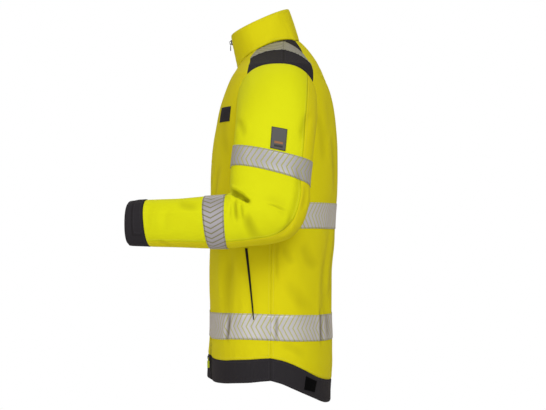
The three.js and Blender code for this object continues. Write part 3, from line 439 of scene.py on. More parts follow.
@dataclass(frozen=True)
class Crease:
    """A soft line in the cloth, drawn between two points of a view; a negative depth is a ridge."""

    view: View
    a0: float
    b0: float
    a1: float
    b1: float
    width: float
    depth: float
    bow: float = 0.0

    def height(self, p: np.ndarray, normals: np.ndarray) -> np.ndarray:
        """How far the crease moves points along their outward direction.

        A trough exp(-across^2) with two low shoulders beside it, fading out beyond the ends and where
        the cloth turns away from the view.

        Args:
            p: Points, in millimetres.
            normals: Outward directions.
        Returns:
            Heights, in millimetres.
        """
        outward, first, second = self.view.value
        a, b = p[..., first] - self.a0, p[..., second] - self.b0
        da, db = self.a1 - self.a0, self.b1 - self.b0
        length = math.hypot(da, db)
        t = (a * da + b * db) / length**2
        bend = self.bow * 4 * np.clip(t, 0, 1) * (1 - np.clip(t, 0, 1))
        across = np.abs((a * db - b * da) / length - bend) / self.width
        shoulders = SHOULDER_SHARE * np.exp(-(((across - SHOULDER_AWAY) / SHOULDER_WIDTH) ** 2))
        shape = np.exp(-(across**2)) - shoulders
        window = np.exp(-(((t - 0.5) / CREASE_REACH) ** 4))
        facing = np.clip((normals @ np.array(outward, float) - FACING_FROM) / FACING_OVER, 0, 1)
        return -self.depth * shape * window * facing


@dataclass
class Surface:
    """A grid of cloth points in millimetres with the outward direction and the crease depth at each."""

    points: np.ndarray
    normals: np.ndarray
    closed: bool = False
    depths: np.ndarray | float = 0.0

    def part(self, rows: slice, columns: slice = slice(None)) -> "Surface":
        """The part of the surface in some rows and columns."""
        depths = np.broadcast_to(self.depths, self.points.shape[:2])[rows, columns]
        closed = self.closed and columns == slice(None)
        return Surface(self.points[rows, columns], self.normals[rows, columns], closed, depths)

    def lifted(self, lift: np.ndarray | float) -> "Surface":
        """The surface moved out."""
        lift = np.broadcast_to(lift, self.points.shape[:2])[..., None]
        return Surface(self.points + self.normals * lift, self.normals, self.closed, self.depths)

    def creased(self, creases: tuple[Crease, ...]) -> "Surface":
        """The surface with creases pressed into it."""
        height = sum((c.height(self.points, self.normals) for c in creases), 0.0)
        moved = self.lifted(height)
        moved.depths = self.depths - height
        return moved

    def opened(self) -> "Surface":
        """A closed ring of columns as a strip whose last column repeats the first."""
        depths = np.broadcast_to(self.depths, self.points.shape[:2])
        parts = (np.concatenate([grid, grid[:, :1]], axis=1) for grid in (self.points, self.normals, depths))
        points, normals, depths = parts
        return Surface(points, normals, False, depths)

    def lengths(self) -> tuple[np.ndarray, np.ndarray]:
        """Lengths over the cloth from the first column and from the first row, in millimetres."""
        across = np.linalg.norm(np.diff(self.points, axis=1), axis=-1)
        up = np.linalg.norm(np.diff(self.points, axis=0), axis=-1)
        return (
            np.pad(np.cumsum(across, axis=1), ((0, 0), (1, 0))),
            np.pad(np.cumsum(up, axis=0), ((1, 0), (0, 0))),
        )

    def edge(self, left: bool = True, right: bool = True, low: bool = True, high: bool = True) -> np.ndarray:
        """Distance over the cloth to the nearest of the named edges, in millimetres."""
        across, up = self.lengths()
        far = np.full(across.shape, FAR_AWAY)
        for use, distance in (
            (left, across),
            (right, across[:, -1:] - across),
            (low, up),
            (high, up[-1:] - up),
        ):
            far = np.minimum(far, distance) if use else far
        return far

    def edge_run(self) -> np.ndarray:
        """Length along the nearest of the four edges, in millimetres."""
        across, up = self.lengths()
        sides = np.minimum(across, across[:, -1:] - across) < np.minimum(up, up[-1:] - up)
        return np.where(sides, up, across)

    def area(self) -> float:
        """Area of the cloth, in square millimetres."""
        p = np.concatenate([self.points, self.points[:, :1]], axis=1) if self.closed else self.points
        a, b = p[1:, 1:] - p[:-1, :-1], p[1:, :-1] - p[:-1, 1:]
        return float(np.linalg.norm(np.cross(a, b), axis=-1).sum() / 2)

    def seamed(self, roll: float = 0.7, pucker: float = 0.35, **edges: bool) -> "Surface":
        """The surface with its sewn edges rolled in and puckered by the thread.

        The roll is exp(-(distance / 1.6)^2); the pucker is a sum of two waves along the edge that fades
        over 8 mm.

        Args:
            roll: How far the very edge dips, in millimetres.
            pucker: Height of the waves beside it.
            edges: Which edges are sewn, as in edge().
        Returns:
            The moved surface.
        """
        distance, run = self.edge(**edges), self.edge_run()
        waves = np.sin(run / 2.3 + 1.1 * np.sin(run / 17)) + 0.6 * np.sin(run / 1.31 + 2)
        fade = np.exp(-distance / PUCKER_FADE) * np.clip(distance / PUCKER_START, 0, 1)
        return self.lifted(-roll * np.exp(-((distance / ROLL_REACH) ** 2)) + pucker * waves * fade)


class Graph:
    """A material's node graph, written as nested calls."""

    def __init__(self, name: str) -> None:
        """Starts an empty material.

        Args:
            name: The material's name.
        """
        self.material = bpy.data.materials.new(name)
        self.material.use_nodes = True
        self.tree = self.material.node_tree
        self.tree.nodes.clear()

    def node(self, kind: str, settings: dict | None = None, **inputs) -> bpy.types.Node:
        """Adds a node.

        Args:
            kind: The node's type, without "ShaderNode".
            settings: Attributes of the node itself.
            inputs: Sockets by name, with spaces as underscores: a value or another node's output.
        Returns:
            The node.
        """
        node = self.tree.nodes.new("ShaderNode" + kind)
        for key, value in (settings or {}).items():
            setattr(node, key, value)
        for key, value in inputs.items():
            self.feed(node.inputs[key.replace("_", " ")], value)
        return node

    def feed(self, socket: bpy.types.NodeSocket, value) -> None:
        """Links or sets one socket."""
        if isinstance(value, bpy.types.NodeSocket):
            self.tree.links.new(value, socket)
        else:
            socket.default_value = value

    def math(self, operation: str, a, b=0.0, clamp: bool = False) -> bpy.types.NodeSocket:
        """One step of arithmetic.

        Args:
            operation: The name of the operation.
            a: The first value or socket.
            b: The second.
            clamp: Whether the result is kept from 0 to 1.
        Returns:
            The result's socket.
        """
        node = self.node("Math", {"operation": operation, "use_clamp": clamp})
        self.feed(node.inputs[0], a)
        self.feed(node.inputs[1], b)
        return node.outputs[0]

    def blend(self, share, a, b, kind: str = "MIX") -> bpy.types.NodeSocket:
        """A colour between two others.

        Args:
            share: How much of b.
            a: The first colour or socket.
            b: The second.
            kind: How they are mixed.
        Returns:
            The colour's socket.
        """
        node = self.node("Mix", {"data_type": "RGBA", "blend_type": kind})
        self.feed(node.inputs[0], share)
        self.feed(node.inputs[6], a)
        self.feed(node.inputs[7], b)
        return node.outputs[2]

    def attribute(self, name: str) -> bpy.types.NodeSocket:
        """A mesh attribute's value."""
        return self.node("Attribute", {"attribute_name": name}).outputs["Fac"]

    def shaded(self, colour, most: float) -> bpy.types.NodeSocket:
        """A colour darkened in the creases with painted shade, a warm dark brown multiplied in by the crease
        depth.

        Args:
            colour: The cloth's colour or socket.
            most: How much of it a crease 4 mm deep loses.
        Returns:
            The colour's socket.
        """
        deep = self.math("DIVIDE", self.attribute("fold"), DEEP_CREASE, clamp=True)
        return self.blend(self.math("MULTIPLY", deep, most), colour, (0.16, 0.11, 0.02, 1), "MULTIPLY")

    def band(self, value, middle: float, half: float, soft: float) -> bpy.types.NodeSocket:
        """1 where a value is within half of middle, fading to 0 over soft."""
        away = self.math("ABSOLUTE", self.math("SUBTRACT", value, middle))
        return self.math("DIVIDE", self.math("SUBTRACT", half + soft, away), soft, clamp=True)

    def uv(self) -> tuple[bpy.types.NodeSocket, bpy.types.NodeSocket, bpy.types.NodeSocket]:
        """The cloth coordinates in metres: the vector, along and across."""
        vector = self.node("UVMap", {"uv_map": "cloth"}).outputs["UV"]
        split = self.node("SeparateXYZ", Vector=vector)
        return vector, split.outputs["X"], split.outputs["Y"]

    def finish(self, colour, bump=None, depth: float = 0.0, **surface) -> bpy.types.Material:
        """Closes the graph with a principled surface.

        Args:
            colour: The base colour or its socket.
            bump: The height's socket.
            depth: The bump's height, in metres.
            surface: Other sockets of the surface.
        Returns:
            The material.
        """
        shader = self.node("BsdfPrincipled", Base_Color=colour, **surface)
        if bump is not None:
            raised = self.node("Bump", Strength=1.0, Distance=depth, Height=bump)
            self.feed(shader.inputs["Normal"], raised.outputs["Normal"])
        self.node("OutputMaterial", Surface=shader.outputs[0])
        return self.material


def linear(hexadecimal: int) -> tuple[float, float, float, float]:
    """A screen colour as linear light."""
    parts = [((hexadecimal >> shift) & 255) / 255 for shift in (16, 8, 0)]
    return (*[c / 12.92 if c <= 0.04045 else ((c + 0.055) / 1.055) ** 2.4 for c in parts], 1.0)


STITCH_PITCH = 0.0034
STITCH_HALF, STITCH_SOFT = 0.0003, 0.0002
SEAM_SHADE_REACH = 0.0012
DEEP_CREASE = 0.004


@dataclass(frozen=True)
class ClothFinish:
    """Woven cloth with a stitch line beside its seams."""

    name: str
    colour: int
    shade: int
    thread: int
    weave: float = 0.0007
    weave_depth: float = 0.00012
    roughness: float = 0.78
    sheen: float = 0.06
    stitch_from: float = 0.0045
    crease_shade: float = 0.3

    def build(self) -> bpy.types.Material:
        """The material: crossed yarns, slow patches of wear, thread dashes, a dark line of painted shade at
        the seam and painted shade in the creases.

        Returns:
            The material.
        """
        g = Graph(self.name)
        vector, along_cloth, across_cloth = g.uv()
        yarns = [
            g.math("SINE", g.math("MULTIPLY", part, 2 * math.pi / self.weave))
            for part in (along_cloth, across_cloth)
        ]
        weave = g.math("MULTIPLY", yarns[0], yarns[1])
        slow = g.node("TexNoise", Vector=vector, Scale=9.0, Detail=4.0).outputs["Fac"]
        fine = g.node("TexNoise", Vector=vector, Scale=900.0, Detail=2.0).outputs["Fac"]
        edge, run = g.attribute("edge"), g.attribute("run")
        dash = g.math("LESS_THAN", g.math("FRACT", g.math("DIVIDE", run, STITCH_PITCH)), 0.72)
        stitch = g.math("MULTIPLY", g.band(edge, self.stitch_from, STITCH_HALF, STITCH_SOFT), dash)
        # A dark line of painted shade right along the seam edge.
        seam = g.math("DIVIDE", g.math("SUBTRACT", SEAM_SHADE_REACH, edge), SEAM_SHADE_REACH, clamp=True)
        worn = g.blend(g.math("MULTIPLY", slow, 0.5), linear(self.colour), linear(self.shade))
        woven = g.blend(g.math("MULTIPLY", fine, 0.12), worn, linear(self.shade))
        sewn = g.blend(stitch, woven, linear(self.thread))
        dark = g.blend(g.math("MULTIPLY", seam, 0.12), sewn, (0.02, 0.02, 0.01, 1))
        height = g.math("ADD", g.math("MULTIPLY", weave, 0.5), g.math("MULTIPLY", fine, 0.6))
        height = g.math("ADD", height, g.math("MULTIPLY", stitch, 2.5))
        return g.finish(
            g.shaded(dark, self.crease_shade),
            height,
            self.weave_depth,
            Roughness=self.roughness,
            Specular_IOR_Level=0.15,
            Sheen_Weight=self.sheen,
            Sheen_Tint=linear(self.thread),
            Sheen_Roughness=0.5,
        )


@dataclass(frozen=True)
class TapeFinish:
    """Segmented reflective tape: silver pieces between thin slanted gaps in the cloth's colour."""

    name: str
    silver: int
    gap: int
    period: float = 0.0098
    slope: float = 0.55
    half: float = 0.025
    gap_share: float = 0.2
    stitch_from: float = 0.0018

    def build(self) -> bpy.types.Material:
        """The material: chevrons by the tape's own coordinates, fine beads, stitched edges and painted shade
        in the creases.

        Returns:
            The material.
        """
        g = Graph(self.name)
        vector, along_tape, across_tape = g.uv()
        out = g.math("ABSOLUTE", g.math("SUBTRACT", across_tape, self.half))
        phase = g.math("SUBTRACT", along_tape, g.math("MULTIPLY", out, self.slope))
        part = g.math("FRACT", g.math("DIVIDE", phase, self.period))
        gap = g.band(part, 0.5, self.gap_share / 2, 0.06)
        beads = g.node("TexNoise", Vector=vector, Scale=1500.0, Detail=1.0).outputs["Fac"]
        slow = g.node("TexNoise", Vector=vector, Scale=14.0, Detail=3.0).outputs["Fac"]
        edge, run = g.attribute("edge"), g.attribute("run")
        dash = g.math("LESS_THAN", g.math("FRACT", g.math("DIVIDE", run, STITCH_PITCH)), 0.7)
        stitch = g.math("MULTIPLY", g.band(edge, self.stitch_from, STITCH_HALF, STITCH_SOFT), dash)
        silver = linear(self.silver)
        darker = tuple(0.72 * c for c in silver[:3]) + (1.0,)
        base = g.blend(g.math("MULTIPLY", slow, 0.5), silver, darker)
        base = g.blend(g.math("MULTIPLY", beads, 0.2), base, darker)
        lined = g.blend(g.math("MULTIPLY", gap, 0.85), base, linear(self.gap))
        sewn = g.blend(stitch, lined, linear(self.gap))
        height = g.math("SUBTRACT", g.math("MULTIPLY", beads, 0.35), gap)
        height = g.math("ADD", height, g.math("MULTIPLY", stitch, 1.5))
        shine = g.math("SUBTRACT", 0.25, g.math("MULTIPLY", gap, 0.25))
        shaded = g.shaded(sewn, 0.8)
        return g.finish(shaded, height, 0.00012, Roughness=0.48, Metallic=shine, Specular_IOR_Level=0.4)


@dataclass(frozen=True)
class HardFinish:
    """Painted metal, moulded plastic or zip coil, with wear on Object coordinates."""

    name: str
    colour: int
    worn: int
    roughness: float
    metallic: float = 0.0

    def build(self) -> bpy.types.Material:
        """The material: fine scratches and slow patches of wear.

        Returns:
            The material.
        """
        g = Graph(self.name)
        place = g.node("TexCoord").outputs["Object"]
        slow = g.node("TexNoise", Vector=place, Scale=160.0, Detail=4.0).outputs["Fac"]
        fine = g.node("TexNoise", Vector=place, Scale=1400.0, Detail=2.0).outputs["Fac"]
        patches = g.math("MULTIPLY", g.math("SUBTRACT", slow, 0.42, clamp=True), 1.6, clamp=True)
        colour = g.blend(patches, linear(self.colour), linear(self.worn))
        rough = g.math("ADD", self.roughness - 0.06, g.math("MULTIPLY", fine, 0.16))
        return g.finish(colour, fine, 0.00006, Roughness=rough, Metallic=self.metallic)


@dataclass(frozen=True)
class PileFinish:
    """Hook-and-loop tape: a dense dark pile."""

    name: str
    colour: int
    tip: int

    def build(self) -> bpy.types.Material:
        """The material: small round tufts from a cell pattern.

        Returns:
            The material.
        """
        g = Graph(self.name)
        place = g.node("TexCoord").outputs["Object"]
        cells = g.node("TexVoronoi", Vector=place, Scale=900.0).outputs["Distance"]
        colour = g.blend(g.math("MULTIPLY", cells, 0.7, clamp=True), linear(self.tip), linear(self.colour))
        return g.finish(colour, cells, -0.0006, Roughness=1.0, Specular_IOR_Level=0.05)


@dataclass(frozen=True)
class BadgeFinish:
    """A grey woven label with a dark border and plain bars."""

    name: str
    colour: int
    border: int
    bar: int
    width: float
    height: float

    def build(self) -> bpy.types.Material:
        """The material: a border and two plain bars by the label's own coordinates.

        Returns:
            The material.
        """
        g = Graph(self.name)
        vector, x, y = g.uv()
        weave = g.node("TexNoise", Vector=vector, Scale=2200.0, Detail=1.0).outputs["Fac"]
        edge = g.attribute("edge")
        border = g.math("LESS_THAN", edge, 0.0011)
        wide = g.band(x, self.width / 2, self.width * 0.27, 0.0003)
        bars = [
            g.math("MULTIPLY", wide, g.band(y, self.height * share, self.height * 0.045, 0.0003))
            for share in (0.68, 0.84)
        ]
        colour = g.blend(g.math("MULTIPLY", weave, 0.3), linear(self.colour), linear(self.border))
        colour = g.blend(bars[0], colour, linear(self.bar))
        colour = g.blend(bars[1], colour, linear(self.border))
        colour = g.blend(border, colour, linear(self.border))
        height = g.math("ADD", weave, g.math("ADD", bars[0], bars[1]))
        return g.finish(colour, height, 0.0002, Roughness=0.7, Specular_IOR_Level=0.3)


class Finishes:
    """The materials, built once by name."""

    def __init__(self) -> None:
        """Builds every material."""
        known = (
            # The two yellow finishes are one cloth: yellow_cloth is the lit copy, and the next one is the
            # same cloth more golden, painted shade for the torso, collar and under sleeves.
            ClothFinish("yellow_cloth", 0xE4EB0E, 0xDCD80A, 0xF0EE40, sheen=0.03, crease_shade=0.5),
            ClothFinish("body_cloth", 0xE6E00C, 0xDCCC0A, 0xECE43C, sheen=0.03),
            ClothFinish("charcoal_cloth", 0x2E2C31, 0x222126, 0x3C3A40, weave=0.0009, sheen=0.02),
            # reflective_tape is the lit copy of the tape; the two sleeve finishes after it are darker copies
            # of it, painted shade.
            TapeFinish("reflective_tape", 0xD6D5DE, 0xB4B450),
            TapeFinish("shaded_sleeve_tape", 0xB8B7C0, 0xA8A850),
            TapeFinish("forearm_tape", 0xB2AFB8, 0x76743C, slope=-0.5),
            TapeFinish("shoulder_stripe", 0xB4B4A8, 0x56544A, 0.0075, slope=0.8, half=-1.0, gap_share=0.26),
            ClothFinish("zip_tape", 0x161412, 0x0C0B0A, 0x22201E, weave=0.0006, sheen=0.01),
            HardFinish("zip_coil", 0x0C0A08, 0x1A1816, 0.62),
            HardFinish("zip_metal", 0x2B2B2D, 0x6A6A6E, 0.38, 0.7),
            HardFinish("pull_plastic", 0xCFE01A, 0xB5C414, 0.5),
            PileFinish("hook_and_loop", 0x050506, 0x0C0C0E),
            BadgeFinish("badge_cloth", 0x5E5E5E, 0x3A3A3C, 0x9A6A4A, 0.030, 0.042),
        )
        self.built = {finish.name: finish.build() for finish in known}

    def __getitem__(self, name: str) -> bpy.types.Material:
        """The material of that name."""
        return self.built[name]


def quads(grid: np.ndarray) -> np.ndarray:
    """The four corners of each face of a grid of numbers."""
    parts = (grid[:-1, :-1], grid[:-1, 1:], grid[1:, 1:], grid[1:, :-1])
    return np.stack(parts, axis=-1).reshape(-1, 4)


@dataclass(frozen=True)
class Stock:
    """A cloth's thickness, and how far out its outer face lies from the surface, in millimetres."""

    thickness: float
    lift: float = 0.0


# Slots of the finishes that aren't named after their slot
SLOTS = {
    "body_cloth": "yellow_cloth",
    "shaded_sleeve_tape": "reflective_tape",
    "forearm_tape": "reflective_tape",
    "shoulder_stripe": "reflective_tape",
}


@dataclass
class Maker:
    """Writes surfaces as meshes that ride on the jacket, and keeps what was made."""

    finishes: Finishes
    made: list[str] = field(default_factory=list)

    def mesh(self, name: str, vertices: np.ndarray, faces: np.ndarray, material: str) -> bpy.types.Object:
        """A mesh object from whole arrays.

        Args:
            name: The object's name.
            vertices: Points, in millimetres.
            faces: Four vertex numbers for each face.
            material: The name of the finish.
        Returns:
            The object, linked to the scene.
        """
        data = bpy.data.meshes.new(name)
        data.vertices.add(len(vertices))
        data.vertices.foreach_set("co", (vertices * METRES).astype(np.float32).ravel())
        data.loops.add(faces.size)
        data.loops.foreach_set("vertex_index", faces.astype(np.int32).ravel())
        data.polygons.add(len(faces))
        data.polygons.foreach_set("loop_start", np.arange(0, faces.size, 4, dtype=np.int32))
        data.update(calc_edges=True)
        data.polygons.foreach_set("use_smooth", np.ones(len(faces), bool))
        data.materials.append(self.finishes[material])
        data.validate()
        item = bpy.data.objects.new(name, data)
        bpy.context.scene.collection.objects.link(item)
        return item

    def cloth(
        self,
        node: str,
        surface: Surface,
        material: str,
        stock: Stock,
        *,
        laid_on: str | None = None,
        edges: dict[str, bool] | None = None,
        straight: bool = False,
    ) -> bpy.types.Object:
        """A shell of cloth whose outer face is a surface, standing for a node of the part.

        Args:
            node: The node that it replaces.
            surface: The surface that the cloth follows.
            material: The finish.
            stock: The cloth's thickness and lift.
            laid_on: The node whose cloth it lies on.
            edges: Which edges have a stitch line.
            straight: Whether the coordinates across keep the first column's lengths, as on a tape.
        Returns:
            The object.
        """
        lifted = surface.lifted(stock.lift)
        rows, columns = lifted.points.shape[:2]
        across, up = lifted.lengths()
        if surface.closed:
            seam = np.linalg.norm(lifted.points[:, 0] - lifted.points[:, -1], axis=-1)
            across = np.concatenate([across, across[:, -1:] + seam[:, None]], axis=1)
            up = np.concatenate([up, up[:, :1]], axis=1)
        along_u = np.broadcast_to(across.mean(0), across.shape) if straight else across
        number = np.arange(rows * columns).reshape(rows, columns)
        wrapped = np.concatenate([number, number[:, :1]], axis=1) if surface.closed else number
        uv_number = np.arange(across.size).reshape(across.shape)

        faces, uv_faces = quads(wrapped), quads(uv_number)
        p = lifted.points.reshape(-1, 3)
        first = np.cross(p[faces[:, 1]] - p[faces[:, 0]], p[faces[:, 3]] - p[faces[:, 0]])
        if (first * lifted.normals.reshape(-1, 3)[faces[:, 0]]).sum() < 0:
            faces, uv_faces = faces[:, ::-1], uv_faces[:, ::-1]
        item = self.mesh(f"{node}_cloth", p, faces, material)
        uv = np.stack([along_u, up], axis=-1).reshape(-1, 2)[uv_faces.ravel()] * METRES
        layer = item.data.uv_layers.new(name="cloth")
        layer.data.foreach_set("uv", uv.astype(np.float32).ravel())
        use = {"left": not surface.closed, "right": not surface.closed, "low": True, "high": True}
        distance = lifted.edge(**{**use, **(edges or {})})
        run = lifted.lengths()[0] if surface.closed else lifted.edge_run()
        depths = np.broadcast_to(surface.depths, distance.shape)
        # The fold attribute holds the crease depth that the materials turn into painted shade.
        for label, values in (("edge", distance), ("run", run), ("fold", depths)):
            data = item.data.attributes.new(label, "FLOAT", "POINT").data
            data.foreach_set("value", (values * METRES).astype(np.float32).ravel())
        shell = item.modifiers.new("thickness", "SOLIDIFY")
        shell.thickness = stock.thickness * METRES
        shell.offset = -1
        width, length = across[:, -1].max() * METRES, up[-1].max() * METRES
        area = min(surface.area() * METRES**2, width * length)
        self.place(item, SLOTS.get(material, material), node)
        flat = (round(float(width), 3), round(float(length), 3))
        held, rests_on = (Held.LAID, (f"{laid_on}_cloth",)) if laid_on else (Held.HUNG, ())
        if min(flat) >= SMALLEST_SHEET:
            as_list(rests_on)
        return item

    def place(self, item: bpy.types.Object, slot: str, node: str | None = None) -> None:
        """Makes an object ride on the jacket, hides the node that it stands for and logs its slot.

        Args:
            item: The finished object.
            slot: The material slot, which is only written to the log.
            node: The node that it replaces.
        """
        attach(item, BODY_NAME)
        if node:
            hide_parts(node)
        self.made.append(item.name)
        LOG.info("%s: %d faces, slot %s", item.name, len(item.data.polygons), slot)


SEAM = 0.3
CLOTH, COLLAR_CLOTH, CUFF_CLOTH = Stock(1.8), Stock(3.0), Stock(2.2)
TAPE, TRIM = Stock(0.8, SEAM + 0.8), Stock(1.0, 1.45)
INNER_SEAM, FRONT_CORNER, SHOULDER, OUTER_SEAM, BACK_CORNER, ARMPIT = -30, 46, 96, 135, 150, 270
SHOULDER_SHARES = np.array([0, 0.04, 0.08, 0.26, 0.44, 0.63, 0.82, 1])
FRONT_SHARES = np.array([0, 0.035, 0.07, 0.2, 0.34, 0.56, 0.78, 1])
BACK_SHARES = np.array([0, 0.26, 0.5, 0.61, 0.72, 0.81, 0.9, 1])
STRIPE_FROM, STRIPE_TO = 2, 4
FRONT_COLUMNS, NECK_COLUMNS, BACK_HALF_COLUMNS, V_COLUMNS, YOKE_ROWS = 12, 5, 12, 9, 3
ARMHOLE_STEPS = (
    (INNER_SEAM, FRONT_CORNER, 5),
    (FRONT_CORNER, SHOULDER, YOKE_ROWS),
    (SHOULDER, OUTER_SEAM, YOKE_ROWS - 1),
    (OUTER_SEAM, BACK_CORNER, 1),
    (BACK_CORNER, ARMPIT, 7),
    (ARMPIT, 360 + INNER_SEAM, 3),
)
BAND_ROWS = {"hem_top": 1, "waist_low": 1, "waist_top": 6, "chest_low": 1, "chest_top": 4}
WAIST_ROWS, CHEST_ROWS = (1, 2), (8, 9)
NECK_FRONT_Z, NECK_BACK_Z = -48.0, 6.5
NECK_YOKE_FRONT, NECK_SHOULDER, NECK_YOKE_BACK = (-32, -17), (21, 3.2), (45, 2.6)
# Points of the seams in millimetres: (x, z) on the front or the back, (y, z) on the side
NECK_FRONT = ((ZIP_HALF, NECK_FRONT_Z), (30, -43.5), (58, -31))
NECK_YOKE_INNER = ((-12, -7.6), (8, 0.3), (36, 4.3))
NECK_BACK = ((32, 5.6), (0, NECK_BACK_Z))
FRONT_SEAM = ((-44.4, -36), (-46.5, -51))
BACK_SEAM = ((55, -15), (63, -37), (77.6, -60.6))
V_SEAM = ((129, -71), (85, -80), (0, -84))
RIDGE_STEPS = 4
SAME_ANGLE = 1e-6


def sleeve_angles(steps_each: int = 1) -> np.ndarray:
    """Angles round the armhole and sleeve, from the inner seam, with each step divided."""
    parts = [np.linspace(a, b, n * steps_each, endpoint=False) for a, b, n in ARMHOLE_STEPS]
    return np.concatenate(parts)


@dataclass
class Seams:
    """The sampled seams of one side of the jacket."""

    side: Side

    def __post_init__(self) -> None:
        """Samples every seam once."""
        side = self.side
        corner, shoulder_neck, back_corner = (
            BODY.side_point(y, z, side) for y, z in (NECK_YOKE_FRONT, NECK_SHOULDER, NECK_YOKE_BACK)
        )
        self.neck_front = along(
            [BODY.face_point(x, z, False, side) for x, z in NECK_FRONT] + [corner], even(NECK_COLUMNS)
        )
        inner = [BODY.side_point(y, z, side) for y, z in NECK_YOKE_INNER]
        self.neck_yoke_front = along([corner, *inner[:2], shoulder_neck], even(YOKE_ROWS))
        self.neck_yoke_back = along([shoulder_neck, inner[2], back_corner], even(YOKE_ROWS))
        self.neck_back = along(
            [back_corner] + [BODY.face_point(x, z, True, side) for x, z in NECK_BACK], even(V_COLUMNS)
        )
        top = BODY.armhole(SHOULDER, side)
        ridge = [
            BODY.side_point(mix(NECK_SHOULDER[0], top[1], s), mix(NECK_SHOULDER[1], top[2], s), side)
            for s in even(RIDGE_STEPS)
        ]
        self.shoulder = along(ridge, SHOULDER_SHARES)
        self.front_seam = along(
            [corner]
            + [BODY.side_point(y, z, side) for y, z in FRONT_SEAM]
            + [BODY.armhole(FRONT_CORNER, side)],
            FRONT_SHARES,
        )
        self.back_seam = along(
            [back_corner]
            + [BODY.side_point(y, z, side) for y, z in BACK_SEAM]
            + [BODY.armhole(BACK_CORNER, side)],
            BACK_SHARES,
        )
        self.v_seam = along(
            [self.back_seam[STRIPE_TO]]
            + [BODY.face_point(x, z, True, side) for x, z in V_SEAM],
            even(V_COLUMNS),
        )

    def armhole(self, start: float, end: float) -> np.ndarray:
        """The armhole's points between two angles."""
        angles = sleeve_angles()
        turns = np.concatenate([angles, angles + 360, [720 + INNER_SEAM]])
        return BODY.armhole(turns[(turns >= start - SAME_ANGLE) & (turns <= end + SAME_ANGLE)], self.side)

    def neck_line(self) -> np.ndarray:
        """The whole neck line of this side, from the zip to the middle of the back."""
        rows = (self.neck_front, self.neck_yoke_front[1:], self.neck_yoke_back[1:], self.neck_back[1:])
        return np.concatenate(rows)


def even_turns(start: float, end: float, columns: int) -> np.ndarray:
    """Turns at even distances round the body at mid height."""
    turns = np.linspace(start, end, 201)
    shares = length_shares(BODY.turn_point(turns, np.full_like(turns, MIDDLE_LEVEL)))
    return monotone(shares, turns, even(columns))


def folded_turns(turns: np.ndarray) -> np.ndarray:
    """Turns measured from the front on either side."""
    return np.abs(np.where(turns > 180, turns - 360, turns))


def lower_rows(turns: np.ndarray) -> np.ndarray:
    """Rows of the body below the armpit. Each level line starts the rows of its band.

    Args:
        turns: The turn of each column.
    Returns:
        A grid of points.
    """
    heights = LEVELS.at(folded_turns(turns))
    heights["armpit"] = np.full_like(turns, ARMPIT_LEVEL, dtype=float)
    names = [*BAND_ROWS, "armpit"]
    rows = [
        BODY.turn_point(turns, mix(heights[name], heights[names[k + 1]], share))
        for k, name in enumerate(BAND_ROWS)
        for share in even(BAND_ROWS[name])[:-1]
    ]
    return np.array(rows)


# Creases by view: along the view's two axes from (a0, b0) to (a1, b1), half the width, depth, bow
BODY_CREASES = (
    Crease(View.LEFT, -82, -430, -91, -545, 9, 3.0, 4),
    Crease(View.LEFT, -84, -538, -90, -592, 3.4, 3.6),
    Crease(View.LEFT, -66, -430, -58, -566, 8, -2.6, -4),
    Crease(View.LEFT, 8, -395, 9, -470, 3.4, 2.2),
    Crease(View.LEFT, 8, -536, 7, -590, 3.2, 2.4),
    Crease(View.LEFT, 93, -528, 95, -598, 3.2, 5.0),
    Crease(View.LEFT, 104, -430, 101, -560, 6, 3.0, 3),
    Crease(View.LEFT, 107, -536, 109, -592, 5, 4.0),
    Crease(View.LEFT, 60, -400, 84, -450, 12, 2.4, 5),
    Crease(View.LEFT, 20, -405, 46, -440, 9, 2.0, 4),
    Crease(View.LEFT, 18, -594, 62, -618, 8, 1.8, -3),
    Crease(View.LEFT, 30, -470, 70, -528, 13, 1.8, 5),
    Crease(View.LEFT, -70, -230, -74, -300, 6, 2.6, 2),
    Crease(View.LEFT, -98, -150, -92, -230, 9, 2.2, 3),
    Crease(View.LEFT, 88, -150, 98, -240, 8, 2.2, -4),
    Crease(View.LEFT, 104, -110, 110, -190, 6, 1.8, -3),
    Crease(View.RIGHT, -84, -450, -90, -560, 7, 2.8, 3),
    Crease(View.RIGHT, -58, -450, -54, -575, 8, -2.2, -4),
    Crease(View.RIGHT, 8, -400, 8, -480, 3, 2.0),
    Crease(View.RIGHT, 94, -515, 98, -594, 2.8, 3.2),
    Crease(View.RIGHT, 56, -396, 82, -452, 11, 2.4, 5),
    Crease(View.RIGHT, 88, -150, 98, -240, 8, 2.2, -4),
    Crease(View.RIGHT, -98, -150, -92, -230, 9, 2.2, 3),
    Crease(View.FRONT, 24, -180, 60, -290, 12, 2.4, 6),
    Crease(View.FRONT, -26, -200, -66, -300, 12, 2.4, -6),
    Crease(View.FRONT, 36, -420, 58, -520, 9, 2.4, 5),
    Crease(View.FRONT, -34, -400, -60, -505, 9, 2.4, -5),
    Crease(View.FRONT, 120, -250, 96, -330, 11, 2.2, 5),
    Crease(View.FRONT, -122, -240, -98, -330, 11, 2.2, -5),
    Crease(View.BACK, 60, -380, 92, -520, 13, 3.0, 7),
    Crease(View.BACK, -58, -400, -94, -530, 13, 3.0, -7),
    Crease(View.BACK, 12, -440, -6, -560, 12, 2.4, 5),
    Crease(View.BACK, 118, -190, 84, -300, 13, 2.8, 7),
    Crease(View.BACK, -120, -180, -82, -300, 13, 2.8, -7),
    Crease(View.BACK, 30, -620, 52, -690, 9, 2.0, 4),
    Crease(View.BACK, -34, -610, -50, -690, 9, 2.0, -4),
)
